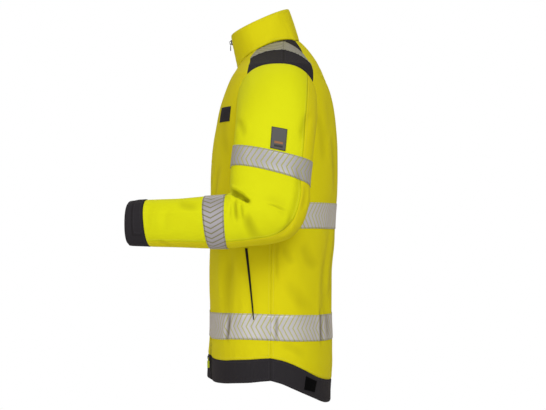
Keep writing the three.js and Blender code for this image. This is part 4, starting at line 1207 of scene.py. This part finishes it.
SLEEVE_CREASES = (
    Crease(View.LEFT, -86, -298, -44, -320, 4.6, 10, -2),
    Crease(View.LEFT, -56, -313, -44, -319, 3.0, 5.0),
    Crease(View.LEFT, -70, -308, -66, -358, 3.4, 3.6, 1),
    Crease(View.LEFT, -61, -318, -55, -352, 2.6, 2.6, -1),
    Crease(View.LEFT, -76, -318, -78, -350, 2.4, 2.0, 1),
    Crease(View.LEFT, -10, -323.5, 24, -336.5, 1.7, 2.0, -1),
    Crease(View.LEFT, -34, -330, 6, -372, 14, -2.4, -6),
    Crease(View.LEFT, -48, -340, -30, -390, 9, 2.2, 4),
    Crease(View.LEFT, 46, -262, 30, -352, 6, 1.6, -8),
    Crease(View.LEFT, 36, -344, 8, -382, 5, 2.0, -5),
    Crease(View.LEFT, -212, -394, -188, -404, 3.5, 1.6),
    Crease(View.LEFT, -206, -330, -214, -372, 8, -1.4, 3),
    Crease(View.LEFT, -176, -322, -140, -330, 8, 1.6, 2),
    Crease(View.LEFT, -54, -196, -74, -160, 6, 1.8, 4),
    Crease(View.LEFT, 54, -206, 70, -150, 7, 1.8, -4),
    Crease(View.LEFT, 60, -288, 52, -338, 4, 2.2, -3),
    Crease(View.RIGHT, -84, -302, -30, -326, 5, 6.5, -3),
    Crease(View.RIGHT, -78, -322, -28, -352, 6, 3.2, -3),
    Crease(View.RIGHT, 10, -320, 48, -338, 6, 2.2, -3),
    Crease(View.RIGHT, -160, -330, -190, -384, 8, 1.8, 4),
    Crease(View.RIGHT, 40, -240, 30, -300, 8, 2.0, 4),
    Crease(View.RIGHT, -40, -180, -66, -230, 9, 2.4, 4),
)


# The hem's gathers, in millimetres: their middle, half their reach, wave and height
GATHER_Y, GATHER_REACH, GATHER_WAVE, GATHER_HEIGHT = -28, 24, 1.15, 0.7


class Torso:
    """The body panels with their tapes and hem bands."""

    def __init__(self, maker: Maker, left: Seams, right: Seams) -> None:
        """Keeps what the panels are built from.

        Args:
            maker: Writes the meshes.
            left: The left side's seams.
            right: The right side's seams.
        """
        self.maker = maker
        self.seams = {Side.LEFT: left, Side.RIGHT: right}
        self.steps = 9
        self.hem_steps = 12
        self.zip_edges: dict[Side, tuple[Surface, Surface]] = {}

    def panel(self, coarse: np.ndarray, **edges: bool) -> Surface:
        """A fine body panel with its creases and seams.

        Args:
            coarse: The panel's grid of points.
            edges: Which edges are sewn.
        Returns:
            The surface.
        """
        rows, columns = (places(n - 1, self.steps) for n in coarse.shape[:2])
        surface = Surface(*BODY.surface(refined(coarse, rows, columns)))
        return surface.creased(BODY_CREASES).seamed(**edges)

    def between(self, count: int, first: int, last: int) -> slice:
        """The fine rows or columns between two of the coarse ones."""
        found = places(count - 1, self.steps)
        return slice(int(np.argmin(np.abs(found - first))), int(np.argmin(np.abs(found - last))) + 1)

    def bands(self, surface: Surface, count: int, panel: str, place: str) -> None:
        """The two tapes of a panel.

        Args:
            surface: The panel's surface.
            count: The panel's number of coarse rows.
            panel: The panel's name.
            place: The tapes' place in their names.
        """
        for band, rows in (("waist", WAIST_ROWS), ("chest", CHEST_ROWS)):
            self.maker.cloth(
                f"{band}_tape_{place}",
                surface.part(self.between(count, *rows)),
                "reflective_tape",
                TAPE,
                laid_on=panel,
                edges={"left": False, "right": False},
                straight=True,
            )

    def hem(self, turns: np.ndarray, name: str) -> Surface:
        """One charcoal hem band, gathered a little beside the side seams.

        Args:
            turns: The turn of each coarse column.
            name: The band's node.
        Returns:
            The band's surface.
        """
        heights = LEVELS.at(folded_turns(turns))
        coarse = np.array([BODY.turn_point(turns, heights[level]) for level in ("hem", "hem_top")])
        rows, columns = places(1, self.hem_steps), places(len(turns) - 1, self.steps)
        surface = Surface(*BODY.surface(refined(coarse, rows, columns)))
        y, z = surface.points[..., 1], surface.points[..., 2]
        gathers = np.sin(y / GATHER_WAVE + 0.6 * np.sin(z / 9))
        gathers = gathers * np.exp(-(((y - GATHER_Y) / GATHER_REACH) ** 4))
        surface = surface.lifted(GATHER_HEIGHT * gathers).creased(BODY_CREASES).seamed()
        self.maker.cloth(name, surface, "charcoal_cloth", CLOTH)
        return surface

    def front(self, side: Side) -> None:
        """One front panel, its tapes and its hem band.

        Args:
            side: The wearer's side.
        """
        seams = self.seams[side]
        half = float(SECTIONS.at(MIDDLE_LEVEL)["half"])
        turns = side.value * even_turns(math.degrees(math.asin(ZIP_HALF / half)), 90, FRONT_COLUMNS)
        low = BODY.turn_point(turns, np.full_like(turns, ARMPIT_LEVEL))
        high = np.concatenate([seams.neck_front, seams.front_seam[1:]])
        edge = seams.armhole(ARMPIT, 360 + FRONT_CORNER)
        heights = mix(ARMPIT_LEVEL, NECK_FRONT_Z, even(len(edge) - 1))
        zip_edge = BODY.face_point(ZIP_HALF, heights, False, side)
        coarse = np.concatenate([lower_rows(turns), blended(low, high, zip_edge, edge)])
        surface = self.panel(coarse)
        panel = f"front_{side.label}"
        self.maker.cloth(panel, surface, "body_cloth", CLOTH)
        self.bands(surface, len(coarse), panel, panel)
        self.zip_edges[side] = (self.hem(turns, f"hem_front_{side.label}"), surface)

    def back(self) -> None:
        """The back panel, its tapes and its hem band."""
        left, right = self.seams[Side.LEFT], self.seams[Side.RIGHT]
        half = even_turns(90, 180, BACK_HALF_COLUMNS)
        turns = np.concatenate([half, 360 - half[-2::-1]])
        low = BODY.turn_point(turns, np.full_like(turns, ARMPIT_LEVEL))
        v_seam = (left.v_seam, right.v_seam[-2::-1])
        high = np.concatenate([left.back_seam[:STRIPE_TO:-1], *v_seam, right.back_seam[STRIPE_TO + 1 :]])
        edges = [seams.armhole(BACK_CORNER, ARMPIT)[::-1] for seams in (left, right)]
        coarse = np.concatenate([lower_rows(turns), blended(low, high, *edges)])
        surface = self.panel(coarse)
        self.maker.cloth("back_panel", surface, "body_cloth", CLOTH)
        self.bands(surface, len(coarse), "back_panel", "back")
        self.hem(turns, "hem_back")

    def yokes(self) -> None:
        """The yellow wedge of the back and the dark yokes with their stripes."""
        left, right = self.seams[Side.LEFT], self.seams[Side.RIGHT]
        low = np.concatenate([left.v_seam, right.v_seam[-2::-1]])
        high = np.concatenate([left.neck_back, right.neck_back[-2::-1]])
        edges = [seams.back_seam[STRIPE_TO::-1] for seams in (left, right)]
        wedge = self.panel(blended(low, high, *edges))
        self.maker.cloth("back_yoke", wedge, "body_cloth", CLOTH)
        for side, seams in self.seams.items():
            hole = (seams.armhole(FRONT_CORNER, SHOULDER), seams.armhole(SHOULDER, BACK_CORNER))
            grids = {
                "front": blended(seams.front_seam, seams.shoulder, seams.neck_yoke_front, hole[0]),
                "back": blended(seams.shoulder, seams.back_seam, seams.neck_yoke_back, hole[1]),
            }
            for place, coarse in grids.items():
                self.yoke(f"{place}_{side.label}", coarse)

    def yoke(self, place: str, coarse: np.ndarray) -> None:
        """One dark yoke with its silver stripe.

        Args:
            place: The yoke's place in its name.
            coarse: Its grid of points.
        """
        surface = self.panel(coarse)
        columns = self.between(coarse.shape[1], STRIPE_FROM, STRIPE_TO)
        self.maker.cloth(f"yoke_{place}", surface, "charcoal_cloth", CLOTH)
        self.maker.cloth(
            f"shoulder_stripe_{place}",
            surface.part(slice(None), columns),
            "shoulder_stripe",
            TAPE,
            laid_on=f"yoke_{place}",
            edges={"low": False, "high": False},
        )

    def build(self) -> None:
        """Builds every piece of the torso."""
        for side in Side:
            self.front(side)
        self.back()
        self.yokes()


COLLAR_FRONT_Y, COLLAR_FRONT_Z, COLLAR_BACK_Y, COLLAR_BACK_Z = -85.7, 18.8, 33.0, 71.6
COLLAR_HALF_WIDTH, COLLAR_POWER = 74.0, 2.2


@dataclass
class Collar:
    """The stand-up collar, open at the zip."""

    maker: Maker
    left: Seams
    right: Seams
    rows: int = 18
    columns_each: int = 5
    waves: int = 9
    wave_height: float = 0.8

    def top(self, p: np.ndarray) -> np.ndarray:
        """The collar's top edge above points of the neck line.

        Args:
            p: Points of the neck line.
        Returns:
            A point of the tilted level oval for each.
        """
        neck_front, neck_back = SECTIONS.at(NECK_FRONT_Z)["front"], SECTIONS.at(NECK_BACK_Z)["back"]
        ahead = ((neck_front + neck_back) / 2 - p[:, 1]) / ((neck_back - neck_front) / 2)
        angle = np.arctan2(p[:, 0] / COLLAR_HALF_WIDTH, ahead)
        across = COLLAR_HALF_WIDTH * signed_power(np.sin(angle), 2 / COLLAR_POWER)
        x = np.where(np.abs(p[:, 0]) <= ZIP_HALF + 1, p[:, 0], across)
        deep = signed_power(np.cos(angle), 2 / COLLAR_POWER)
        y = (COLLAR_FRONT_Y + COLLAR_BACK_Y) / 2 - (COLLAR_BACK_Y - COLLAR_FRONT_Y) / 2 * deep
        share = (y - COLLAR_FRONT_Y) / (COLLAR_BACK_Y - COLLAR_FRONT_Y)
        return np.stack([x, y, mix(COLLAR_FRONT_Z, COLLAR_BACK_Z, share)], axis=-1)

    def build(self) -> Surface:
        """Builds the collar.

        Returns:
            Its outer surface.
        """
        coarse = np.concatenate([self.left.neck_line(), self.right.neck_line()[-2::-1]])
        line = refined_rows(coarse[:, None], places(len(coarse) - 1, self.columns_each))[:, 0]
        low = BODY.surface(line)[0]
        high = self.top(low)
        points = mix(low[None], high[None], places(1, self.rows)[:, None, None])
        points[0, :, 2] += SEAM
        across = np.gradient(points, axis=1)
        normals = np.cross(across, np.gradient(points, axis=0))
        normals[..., 2] = 0
        normals = unit(normals)
        middle = points.mean(axis=1, keepdims=True)
        normals = np.where(((points - middle) * normals).sum(-1, keepdims=True) < 0, -normals, normals)
        surface = Surface(points, normals)
        turn = np.arctan2(points[..., 0], points[..., 1])
        soft = np.sin(turn * self.waves) * np.sin(math.pi * even(len(points) - 1)[:, None])
        surface = surface.lifted(self.wave_height * soft).seamed(roll=0.8, pucker=0.25)
        self.maker.cloth("collar", surface, "body_cloth", COLLAR_CLOTH)
        return surface


RING_NAMES = ("front_y", "front_z", "back_y", "back_z", "x", "thick")
RINGS = {
    "arm_tape_top": (-74.8, -215.8, 73.7, -247, 250, 50),
    "arm_tape_low": (-79.2, -255.8, 69.1, -293.3, 256, 50),
    "above_elbow": (-80.6, -283, 69, -314.8, 266, 50),
    "elbow_1": (-79.8, -298, 64.5, -337.2, 274, 49),
    "elbow_2": (-79.3, -301.2, 52.1, -367, 279, 48.5),
    "elbow_3": (-80, -303.3, 27.9, -389.6, 282, 48),
    "elbow_4": (-81.4, -304.4, -9.3, -399.6, 283, 47),
    "elbow_5": (-83.7, -305.2, -46.5, -403, 283, 45.5),
    "fore_tape_near": (-86.4, -306.6, -82.6, -406.9, 281, 44),
    "fore_tape_far": (-125.8, -309.6, -114.5, -407.1, 276, 42),
    "fore_middle": (-179.8, -314.2, -177, -405.4, 262, 38),
    "fore_low": (-212.2, -315.3, -206.6, -404.9, 254, 36),
    "cuff_seam": (-236.8, -316.2, -227.8, -404.5, 247, 34.5),
    "cuff_end": (-271.1, -318.1, -271.1, -403.4, 237, 33),
}
RING_POWER = 2.3
CAP_START = np.array([0.87, 0, -0.5])
CAP_END = 0.96
FIRST_CAP_LINE = 0.3
CUFF_SEAM_LINES = (-0.08, -0.03, 0.03, 0.08)
CUFF_END_LINES = (-0.06, -0.02)
TAB_SHARES = (0.08, 0.55)


@dataclass
class Sleeve:
    """One bent sleeve with its tapes, cuff and cuff tab."""

    maker: Maker
    side: Side
    around: int = 7
    cap_rows: int = 30
    ring_steps: int = 10
    end_roll: float = 2.2
    end_reach: float = 2.6

    @staticmethod
    def middle(ring: np.ndarray) -> np.ndarray:
        """The middle of a ring from its row of the table."""
        return np.array([ring[4], (ring[0] + ring[2]) / 2, (ring[1] + ring[3]) / 2])

    def ring(self, ring: np.ndarray, before: np.ndarray, after: np.ndarray, angles: np.ndarray) -> np.ndarray:
        """Points of one superellipse ring, square to the line between its neighbours.

        Args:
            ring: The ring's row of the table.
            before: The row before it.
            after: The row after it.
            angles: Angles round the ring.
        Returns:
            A row of points on the left side.
        """
        front, back = np.array([0, *ring[0:2]]), np.array([0, *ring[2:4]])
        middles = [self.middle(r) for r in (before, ring, after)]
        towards_back = (back - front) / 2
        outwards = unit(np.cross(middles[2] - middles[0], towards_back))
        across = signed_power(np.cos(np.radians(angles)), 2 / RING_POWER)[:, None]
        out = signed_power(np.sin(np.radians(angles)), 2 / RING_POWER)[:, None]
        return middles[1] - towards_back * across + outwards * out * ring[5]

    def cap(self, angles: np.ndarray, shares: np.ndarray) -> np.ndarray:
        """The cap of the sleeve: lines that leave the armhole outwards, bend down and end along the arm.

        Args:
            angles: Angles round the armhole.
            shares: Shares from the armhole to the first ring.
        Returns:
            A grid of points on the left side, with a row for each share.
        """
        rings = np.array(list(RINGS.values()))
        first = self.ring(rings[0], rings[0], rings[1], angles)
        arm = unit(self.middle(rings[1]) - self.middle(rings[0]))
        hole = BODY.armhole(angles, Side.LEFT)
        normal = BODY.normal(hole)
        inwards = np.array([ARMHOLE_HALF_WIDTH, ARMHOLE_Y, ARMHOLE_Z]) - hole
        inwards = unit(inwards - normal * (inwards * normal).sum(-1, keepdims=True))
        start = hole + inwards * SEAM
        chord = np.linalg.norm(first - start, axis=-1)[None, :, None]
        u = np.asarray(shares, float)[:, None, None]
        p = mix(start[None], first[None], u * u * (3 - 2 * u))
        return p + CAP_START * chord * u * (1 - u) ** 2 + arm * chord * u * u * (u - 1)

    def whole(self) -> tuple[Surface, dict[str, int]]:
        """The sleeve and cuff as one surface.

        Returns:
            The surface, and the row number of each ring.
        """
        angles = sleeve_angles(self.around)
        rings = np.array(list(RINGS.values()))
        points = [
            self.ring(ring, rings[max(0, i - 1)], rings[min(len(rings) - 1, i + 1)], angles)
            for i, ring in enumerate(rings)
        ]
        cap = self.cap(angles, np.linspace(0, CAP_END, self.cap_rows))
        coarse = np.concatenate([cap, np.array(points)])
        first_ring = self.cap_rows
        fine = np.linspace(first_ring, len(coarse) - 1, (len(points) - 1) * self.ring_steps + 1)
        seam = len(coarse) - 2 + np.array(CUFF_SEAM_LINES)
        end = len(coarse) - 1 + np.array(CUFF_END_LINES)
        found = np.unique(np.concatenate([np.arange(first_ring), fine, [FIRST_CAP_LINE], seam, end]))
        p = refined_rows(coarse, found)
        p[..., 0] *= self.side.value
        rolled = np.concatenate([p[:, -1:], p, p[:, :1]], axis=1)
        across = (rolled[:, 2:] - rolled[:, :-2]) / 2
        normals = unit(np.cross(across, np.gradient(p, axis=0)))
        outwards = p - p.mean(axis=1, keepdims=True)
        normals = normals * np.sign((normals * outwards).sum(-1).mean())
        rows = {name: int(np.argmin(np.abs(found - (first_ring + k)))) for k, name in enumerate(RINGS)}
        return Surface(p, normals, closed=True), rows

    def creases(self) -> tuple[Crease, ...]:
        """The creases, with their views turned round on the right sleeve."""
        if self.side is Side.LEFT:
            return SLEEVE_CREASES
        turned = {View.LEFT: View.RIGHT, View.RIGHT: View.LEFT}
        return tuple(replace(crease, view=turned[crease.view]) for crease in SLEEVE_CREASES)

    def build(self) -> None:
        """Builds the sleeve's pieces."""
        label = self.side.label
        surface, rows = self.whole()
        surface = surface.creased(self.creases())
        seam = rows["cuff_seam"]
        columns = sum(step for _, _, step in ARMHOLE_STEPS[:3]) * self.around
        strip = surface.part(slice(0, seam + 1)).opened()
        # The top sleeve takes the lit copy of the yellow cloth and the under sleeve the more golden copy,
        # painted shade.
        for piece, finish, part in (
            ("top", "yellow_cloth", slice(0, columns + 1)),
            ("under", "body_cloth", slice(columns, None)),
        ):
            cloth = strip.part(slice(None), part).seamed(roll=0.2, pucker=0.15)
            self.maker.cloth(f"sleeve_{piece}_{label}", cloth, finish, CLOTH)
        # The sleeve's tape finishes are darker copies of the reflective tape on the body: painted shade.
        for name, finish, near, far in (
            ("arm_tape", "shaded_sleeve_tape", "arm_tape_top", "arm_tape_low"),
            ("forearm_tape", "forearm_tape", "fore_tape_near", "fore_tape_far"),
        ):
            tape = surface.part(slice(rows[near], rows[far] + 1))
            base = f"sleeve_top_{label}"
            self.maker.cloth(f"{name}_{label}", tape, finish, TAPE, laid_on=base, straight=True)
        cuff = surface.part(slice(seam, None))
        to_end = cuff.edge(False, False, False, True)
        cuff = cuff.lifted(-self.end_roll * np.exp(-((to_end / self.end_reach) ** 2)))
        cuff = cuff.seamed(roll=1.4, left=False, right=False)
        self.maker.cloth(f"cuff_{label}", cuff, "charcoal_cloth", CUFF_CLOTH)
        near, far = (seam + int(round(share * (len(surface.points) - 1 - seam))) for share in TAB_SHARES)
        tab = surface.part(slice(near, far + 1), slice(0, columns - self.around + 1)).seamed(roll=0.4)
        self.maker.cloth(f"cuff_tab_{label}", tab, "charcoal_cloth", TAPE, laid_on=f"cuff_{label}")


# Corners of the trim in millimetres: (x, z) on the chest, (y, z) on the side
POCKET_ZIP = ((-53.2, -409), (-48.6, -409), (-36, -546), (-38, -546))
HEM_PATCH = ((63.5, -656.5), (84.7, -669), (80.4, -689.5), (60, -682))
CHEST_PATCH = ((96, -134), (150, -134), (150, -163), (96, -163))
# The badge's angles round the sleeve and shares down its cap
BADGE_ANGLES, BADGE_SHARES = (86.5, 104.0), (0.78, 0.985)


@dataclass(frozen=True)
class Teeth:
    """A zip's row of teeth, in millimetres."""

    pitch: float
    width: float
    length: float
    height: float
    stagger: float = 0.5


MOULDED_TEETH = Teeth(2.6, 4.4, 1.7, 0.9)
COIL = Teeth(1.8, 1.6, 1.1, 0.4)


class Trim:
    """The zips, patches and the badge."""

    def __init__(self, maker: Maker, sleeve: Sleeve) -> None:
        """Keeps what the trim is built on.

        Args:
            maker: Writes the meshes.
            sleeve: The left sleeve.
        """
        self.maker = maker
        self.sleeve = sleeve
        self.patch_steps = 20

    def patch(self, name: str, corners: np.ndarray, material: str, laid_on: str, climb: float = 0.0) -> None:
        """A small flat piece on the body between four corners.

        Args:
            name: The piece's node.
            corners: Top two and low two corners, going round.
            material: The finish.
            laid_on: The node under it.
            climb: How much further out its low end lies, as over a tape.
        """
        s, t = even(self.patch_steps)[None, :, None], even(self.patch_steps)[:, None, None]
        points = mix(mix(corners[0], corners[1], s), mix(corners[3], corners[2], s), t)
        surface = Surface(*BODY.surface(points)).creased(BODY_CREASES).seamed(roll=0.5, pucker=0.15)
        surface = surface.lifted(climb * t[..., 0] ** 8)
        self.maker.cloth(name, surface, material, TRIM, laid_on=laid_on)

    def teeth(self, name: str, line: Surface, kind: Teeth) -> None:
        """A row of zip teeth along a line of points.

        Args:
            name: The row's name.
            line: One column of points with their outward directions.
            kind: The teeth's sizes.
        """
        p, n = line.points[:, 0], line.normals[:, 0]
        length = np.concatenate([[0], np.cumsum(np.linalg.norm(np.diff(p, axis=0), axis=1))])
        at = np.arange(kind.pitch, length[-1] - kind.pitch, kind.pitch)
        place = np.stack([np.interp(at, length, p[:, k]) for k in range(3)], axis=-1)
        normal = unit(np.stack([np.interp(at, length, n[:, k]) for k in range(3)], axis=-1))
        tangent = unit(np.gradient(place, axis=0))
        side = unit(np.cross(tangent, normal))
        shift = np.where(np.arange(len(at)) % 2 == 0, kind.stagger, -kind.stagger)[:, None] * side
        signs = np.array([(a, b, c) for c in (0, 1) for a, b in ((-1, -1), (1, -1), (1, 1), (-1, 1))], float)
        local = signs * np.array([kind.width / 2, kind.length / 2, kind.height])
        corners = (
            (place + shift)[:, None]
            + side[:, None] * local[None, :, :1]
            + tangent[:, None] * local[None, :, 1:2]
            + normal[:, None] * local[None, :, 2:]
        )
        box = np.array([(0, 3, 2, 1), (4, 5, 6, 7), (0, 1, 5, 4), (1, 2, 6, 5), (2, 3, 7, 6), (3, 0, 4, 7)])
        faces = (box[None] + 8 * np.arange(len(at))[:, None, None]).reshape(-1, 4)
        item = self.maker.mesh(name, corners.reshape(-1, 3), faces, "zip_coil")
        item.data.polygons.foreach_set("use_smooth", np.zeros(len(faces), bool))
        self.maker.place(item, "zip_tape")

    def front_zip(self, edges: dict[Side, tuple[Surface, Surface]], collar: Surface) -> None:
        """The front zip between the two front edges, with its teeth.

        Args:
            edges: The hem band and front panel of each side.
            collar: The collar's surface.
        """
        lines = []
        for side, (hem, panel) in edges.items():
            end = collar.part(slice(None), slice(-1, None) if side is Side.RIGHT else slice(0, 1))
            pieces = (hem.part(slice(0, 1), slice(0, 1)), panel.part(slice(None), slice(0, 1)), end)
            points, directions = (
                np.concatenate([getattr(piece, kind) for piece in pieces]) for kind in ("points", "normals")
            )
            lines.append(Surface(points, directions))
        left, right = lines
        s = even(8)[None, :, None]
        normals = unit(mix(left.normals, right.normals, s))
        surface = Surface(mix(left.points, right.points, s), normals)
        self.maker.cloth("front_zip", surface, "zip_tape", CLOTH, edges={"low": False, "high": False})
        self.teeth("front_zip_teeth", surface.part(slice(None), slice(4, 5)), MOULDED_TEETH)

    def pocket_zip(self, side: Side) -> None:
        """One pocket zip: a dark strip with its coil.

        Args:
            side: The wearer's side.
        """
        name = f"pocket_zip_{side.label}"
        corners = np.array([BODY.side_point(y, z, side) for y, z in POCKET_ZIP])
        self.patch(name, corners, "zip_tape", f"front_{side.label}", climb=0.8)
        t = even(60)[:, None, None]
        points = mix(corners[:2].mean(0), corners[2:].mean(0), t * 0.9)
        line = Surface(*BODY.surface(points)).creased(BODY_CREASES).lifted(TRIM.lift)
        self.teeth(f"{name}_teeth", line, COIL)

    def build(self, edges: dict[Side, tuple[Surface, Surface]], collar: Surface) -> None:
        """Builds every piece of trim.

        Args:
            edges: The hem band and front panel of each side.
            collar: The collar's surface.
        """
        self.front_zip(edges, collar)
        for side in Side:
            self.pocket_zip(side)
            points = np.array([BODY.side_point(y, z, side) for y, z in HEM_PATCH])
            self.patch(f"hem_patch_{side.label}", points, "hook_and_loop", "hem_back")
        chest = np.array([BODY.face_point(x, z, False, Side.LEFT) for x, z in CHEST_PATCH])
        self.patch("chest_patch", chest, "charcoal_cloth", "front_left")
        self.badge()

    def badge(self) -> None:
        """The label on the left sleeve."""
        s, t = even(14), even(18)
        grid = self.sleeve.cap(mix(*BADGE_ANGLES, s), mix(*BADGE_SHARES, t))
        normals = unit(np.cross(np.gradient(grid, axis=1), np.gradient(grid, axis=0)))
        normals = normals * np.sign(normals[..., 0].mean())
        label = Surface(grid, normals)
        self.maker.cloth("sleeve_badge", label, "badge_cloth", TRIM, laid_on="sleeve_top_left")


@dataclass
class Studio:
    """The camera at the photo's place, soft lights and a pale floor."""

    floor_radius: float = 1.5
    floor_level: float = -1.0
    glow: tuple[float, float, float, float] = (1, 0.87, 0.78, 1)
    glow_strength: float = 0.38
    distance: float = 3.2
    height: float = -0.326
    lens: float = 103.4
    aim: tuple[float, float, float] = (0, 0, -0.33)

    def light(self, name: str, place: tuple, size: float, power: float, colour: tuple = (1, 1, 1)) -> None:
        """One square soft light.

        Args:
            name: The light's name.
            place: Where it is, in metres.
            size: Its side, in metres.
            power: Its power, in watts.
            colour: Its colour.
        """
        data = bpy.data.lights.new(name, "AREA")
        data.size, data.energy, data.color = size, power, colour
        lamp = bpy.data.objects.new(name, data)
        bpy.context.scene.collection.objects.link(lamp)
        lamp.location = place
        away = np.array(place) - np.array(self.aim)
        pitch = math.atan2(math.hypot(away[0], away[1]), away[2])
        lamp.rotation_euler = (pitch, 0, math.atan2(away[1], away[0]) + math.pi / 2)

    def world(self) -> None:
        """A white backdrop whose light on the object is softer than it looks."""
        world = bpy.data.worlds.new("studio")
        bpy.context.scene.world = world
        world.use_nodes = True
        nodes, links = world.node_tree.nodes, world.node_tree.links
        nodes.clear()
        seen = nodes.new("ShaderNodeBackground")
        seen.inputs["Color"].default_value = (1, 1, 1, 1)
        seen.inputs["Strength"].default_value = 1.0
        glow = nodes.new("ShaderNodeBackground")
        glow.inputs["Color"].default_value = self.glow
        glow.inputs["Strength"].default_value = self.glow_strength
        path = nodes.new("ShaderNodeLightPath")
        both = nodes.new("ShaderNodeMixShader")
        out = nodes.new("ShaderNodeOutputWorld")
        links.new(path.outputs["Is Camera Ray"], both.inputs[0])
        links.new(glow.outputs[0], both.inputs[1])
        links.new(seen.outputs[0], both.inputs[2])
        links.new(both.outputs[0], out.inputs["Surface"])

    def floor(self) -> None:
        """A pale round floor under the jacket, below the camera's view."""
        place = (0, 0, self.floor_level)
        bpy.ops.mesh.primitive_circle_add(
            vertices=96, radius=self.floor_radius, fill_type="NGON", location=place
        )
        floor = bpy.context.object
        floor.name = "floor"
        g = Graph("floor_paint")
        place = g.node("TexCoord").outputs["Object"]
        grain = g.node("TexNoise", Vector=place, Scale=3.0).outputs["Fac"]
        colour = g.blend(grain, (0.86, 0.86, 0.85, 1), (0.9, 0.9, 0.89, 1))
        floor.data.materials.append(g.finish(colour, Roughness=0.9))

    def build(self) -> None:
        """Builds the studio."""
        scene = bpy.context.scene
        data = bpy.data.cameras.new("photo_camera")
        data.lens, data.sensor_width = self.lens, 36.0
        data.clip_end = 50
        camera = bpy.data.objects.new("photo_camera", data)
        scene.collection.objects.link(camera)
        camera.location = (self.distance, 0, self.height)
        camera.rotation_euler = (math.pi / 2, 0, math.pi / 2)
        scene.camera = camera
        scene.view_settings.view_transform = "Standard"
        self.world()
        self.floor()
        self.light("key", (2.5, 0.75, 1.3), 1.3, 42, (0.96, 1, 0.96))
        self.light("fill", (2.4, -1.8, 0.0), 1.5, 20)
        self.light("rim", (-1.8, -0.6, 1.6), 1.4, 10)


def main() -> None:
    """Builds the jacket's looks on the frame."""
    logging.basicConfig(level=logging.INFO, format="%(name)s: %(message)s")
    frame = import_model()
    finishes = Finishes()
    maker = Maker(finishes)
    left, right = Seams(Side.LEFT), Seams(Side.RIGHT)
    torso = Torso(maker, left, right)
    torso.build()
    collar = Collar(maker, left, right).build()
    sleeves = {side: Sleeve(maker, side) for side in Side}
    for sleeve in sleeves.values():
        sleeve.build()
    Trim(maker, sleeves[Side.LEFT]).build(torso.zip_edges, collar)
    for name, finish in (
        ("zip_slider", "zip_metal"),
        ("zip_slider_lower", "zip_metal"),
        ("zip_pull", "zip_metal"),
        ("zip_pull_lower", "pull_plastic"),
    ):
        node = frame["nodes"][name]
        node.data.materials.clear()
        node.data.materials.append(finishes[finish])
    Studio().build()
    LOG.info("%d pieces", len(maker.made))


if __name__ == "__main__":
    main()
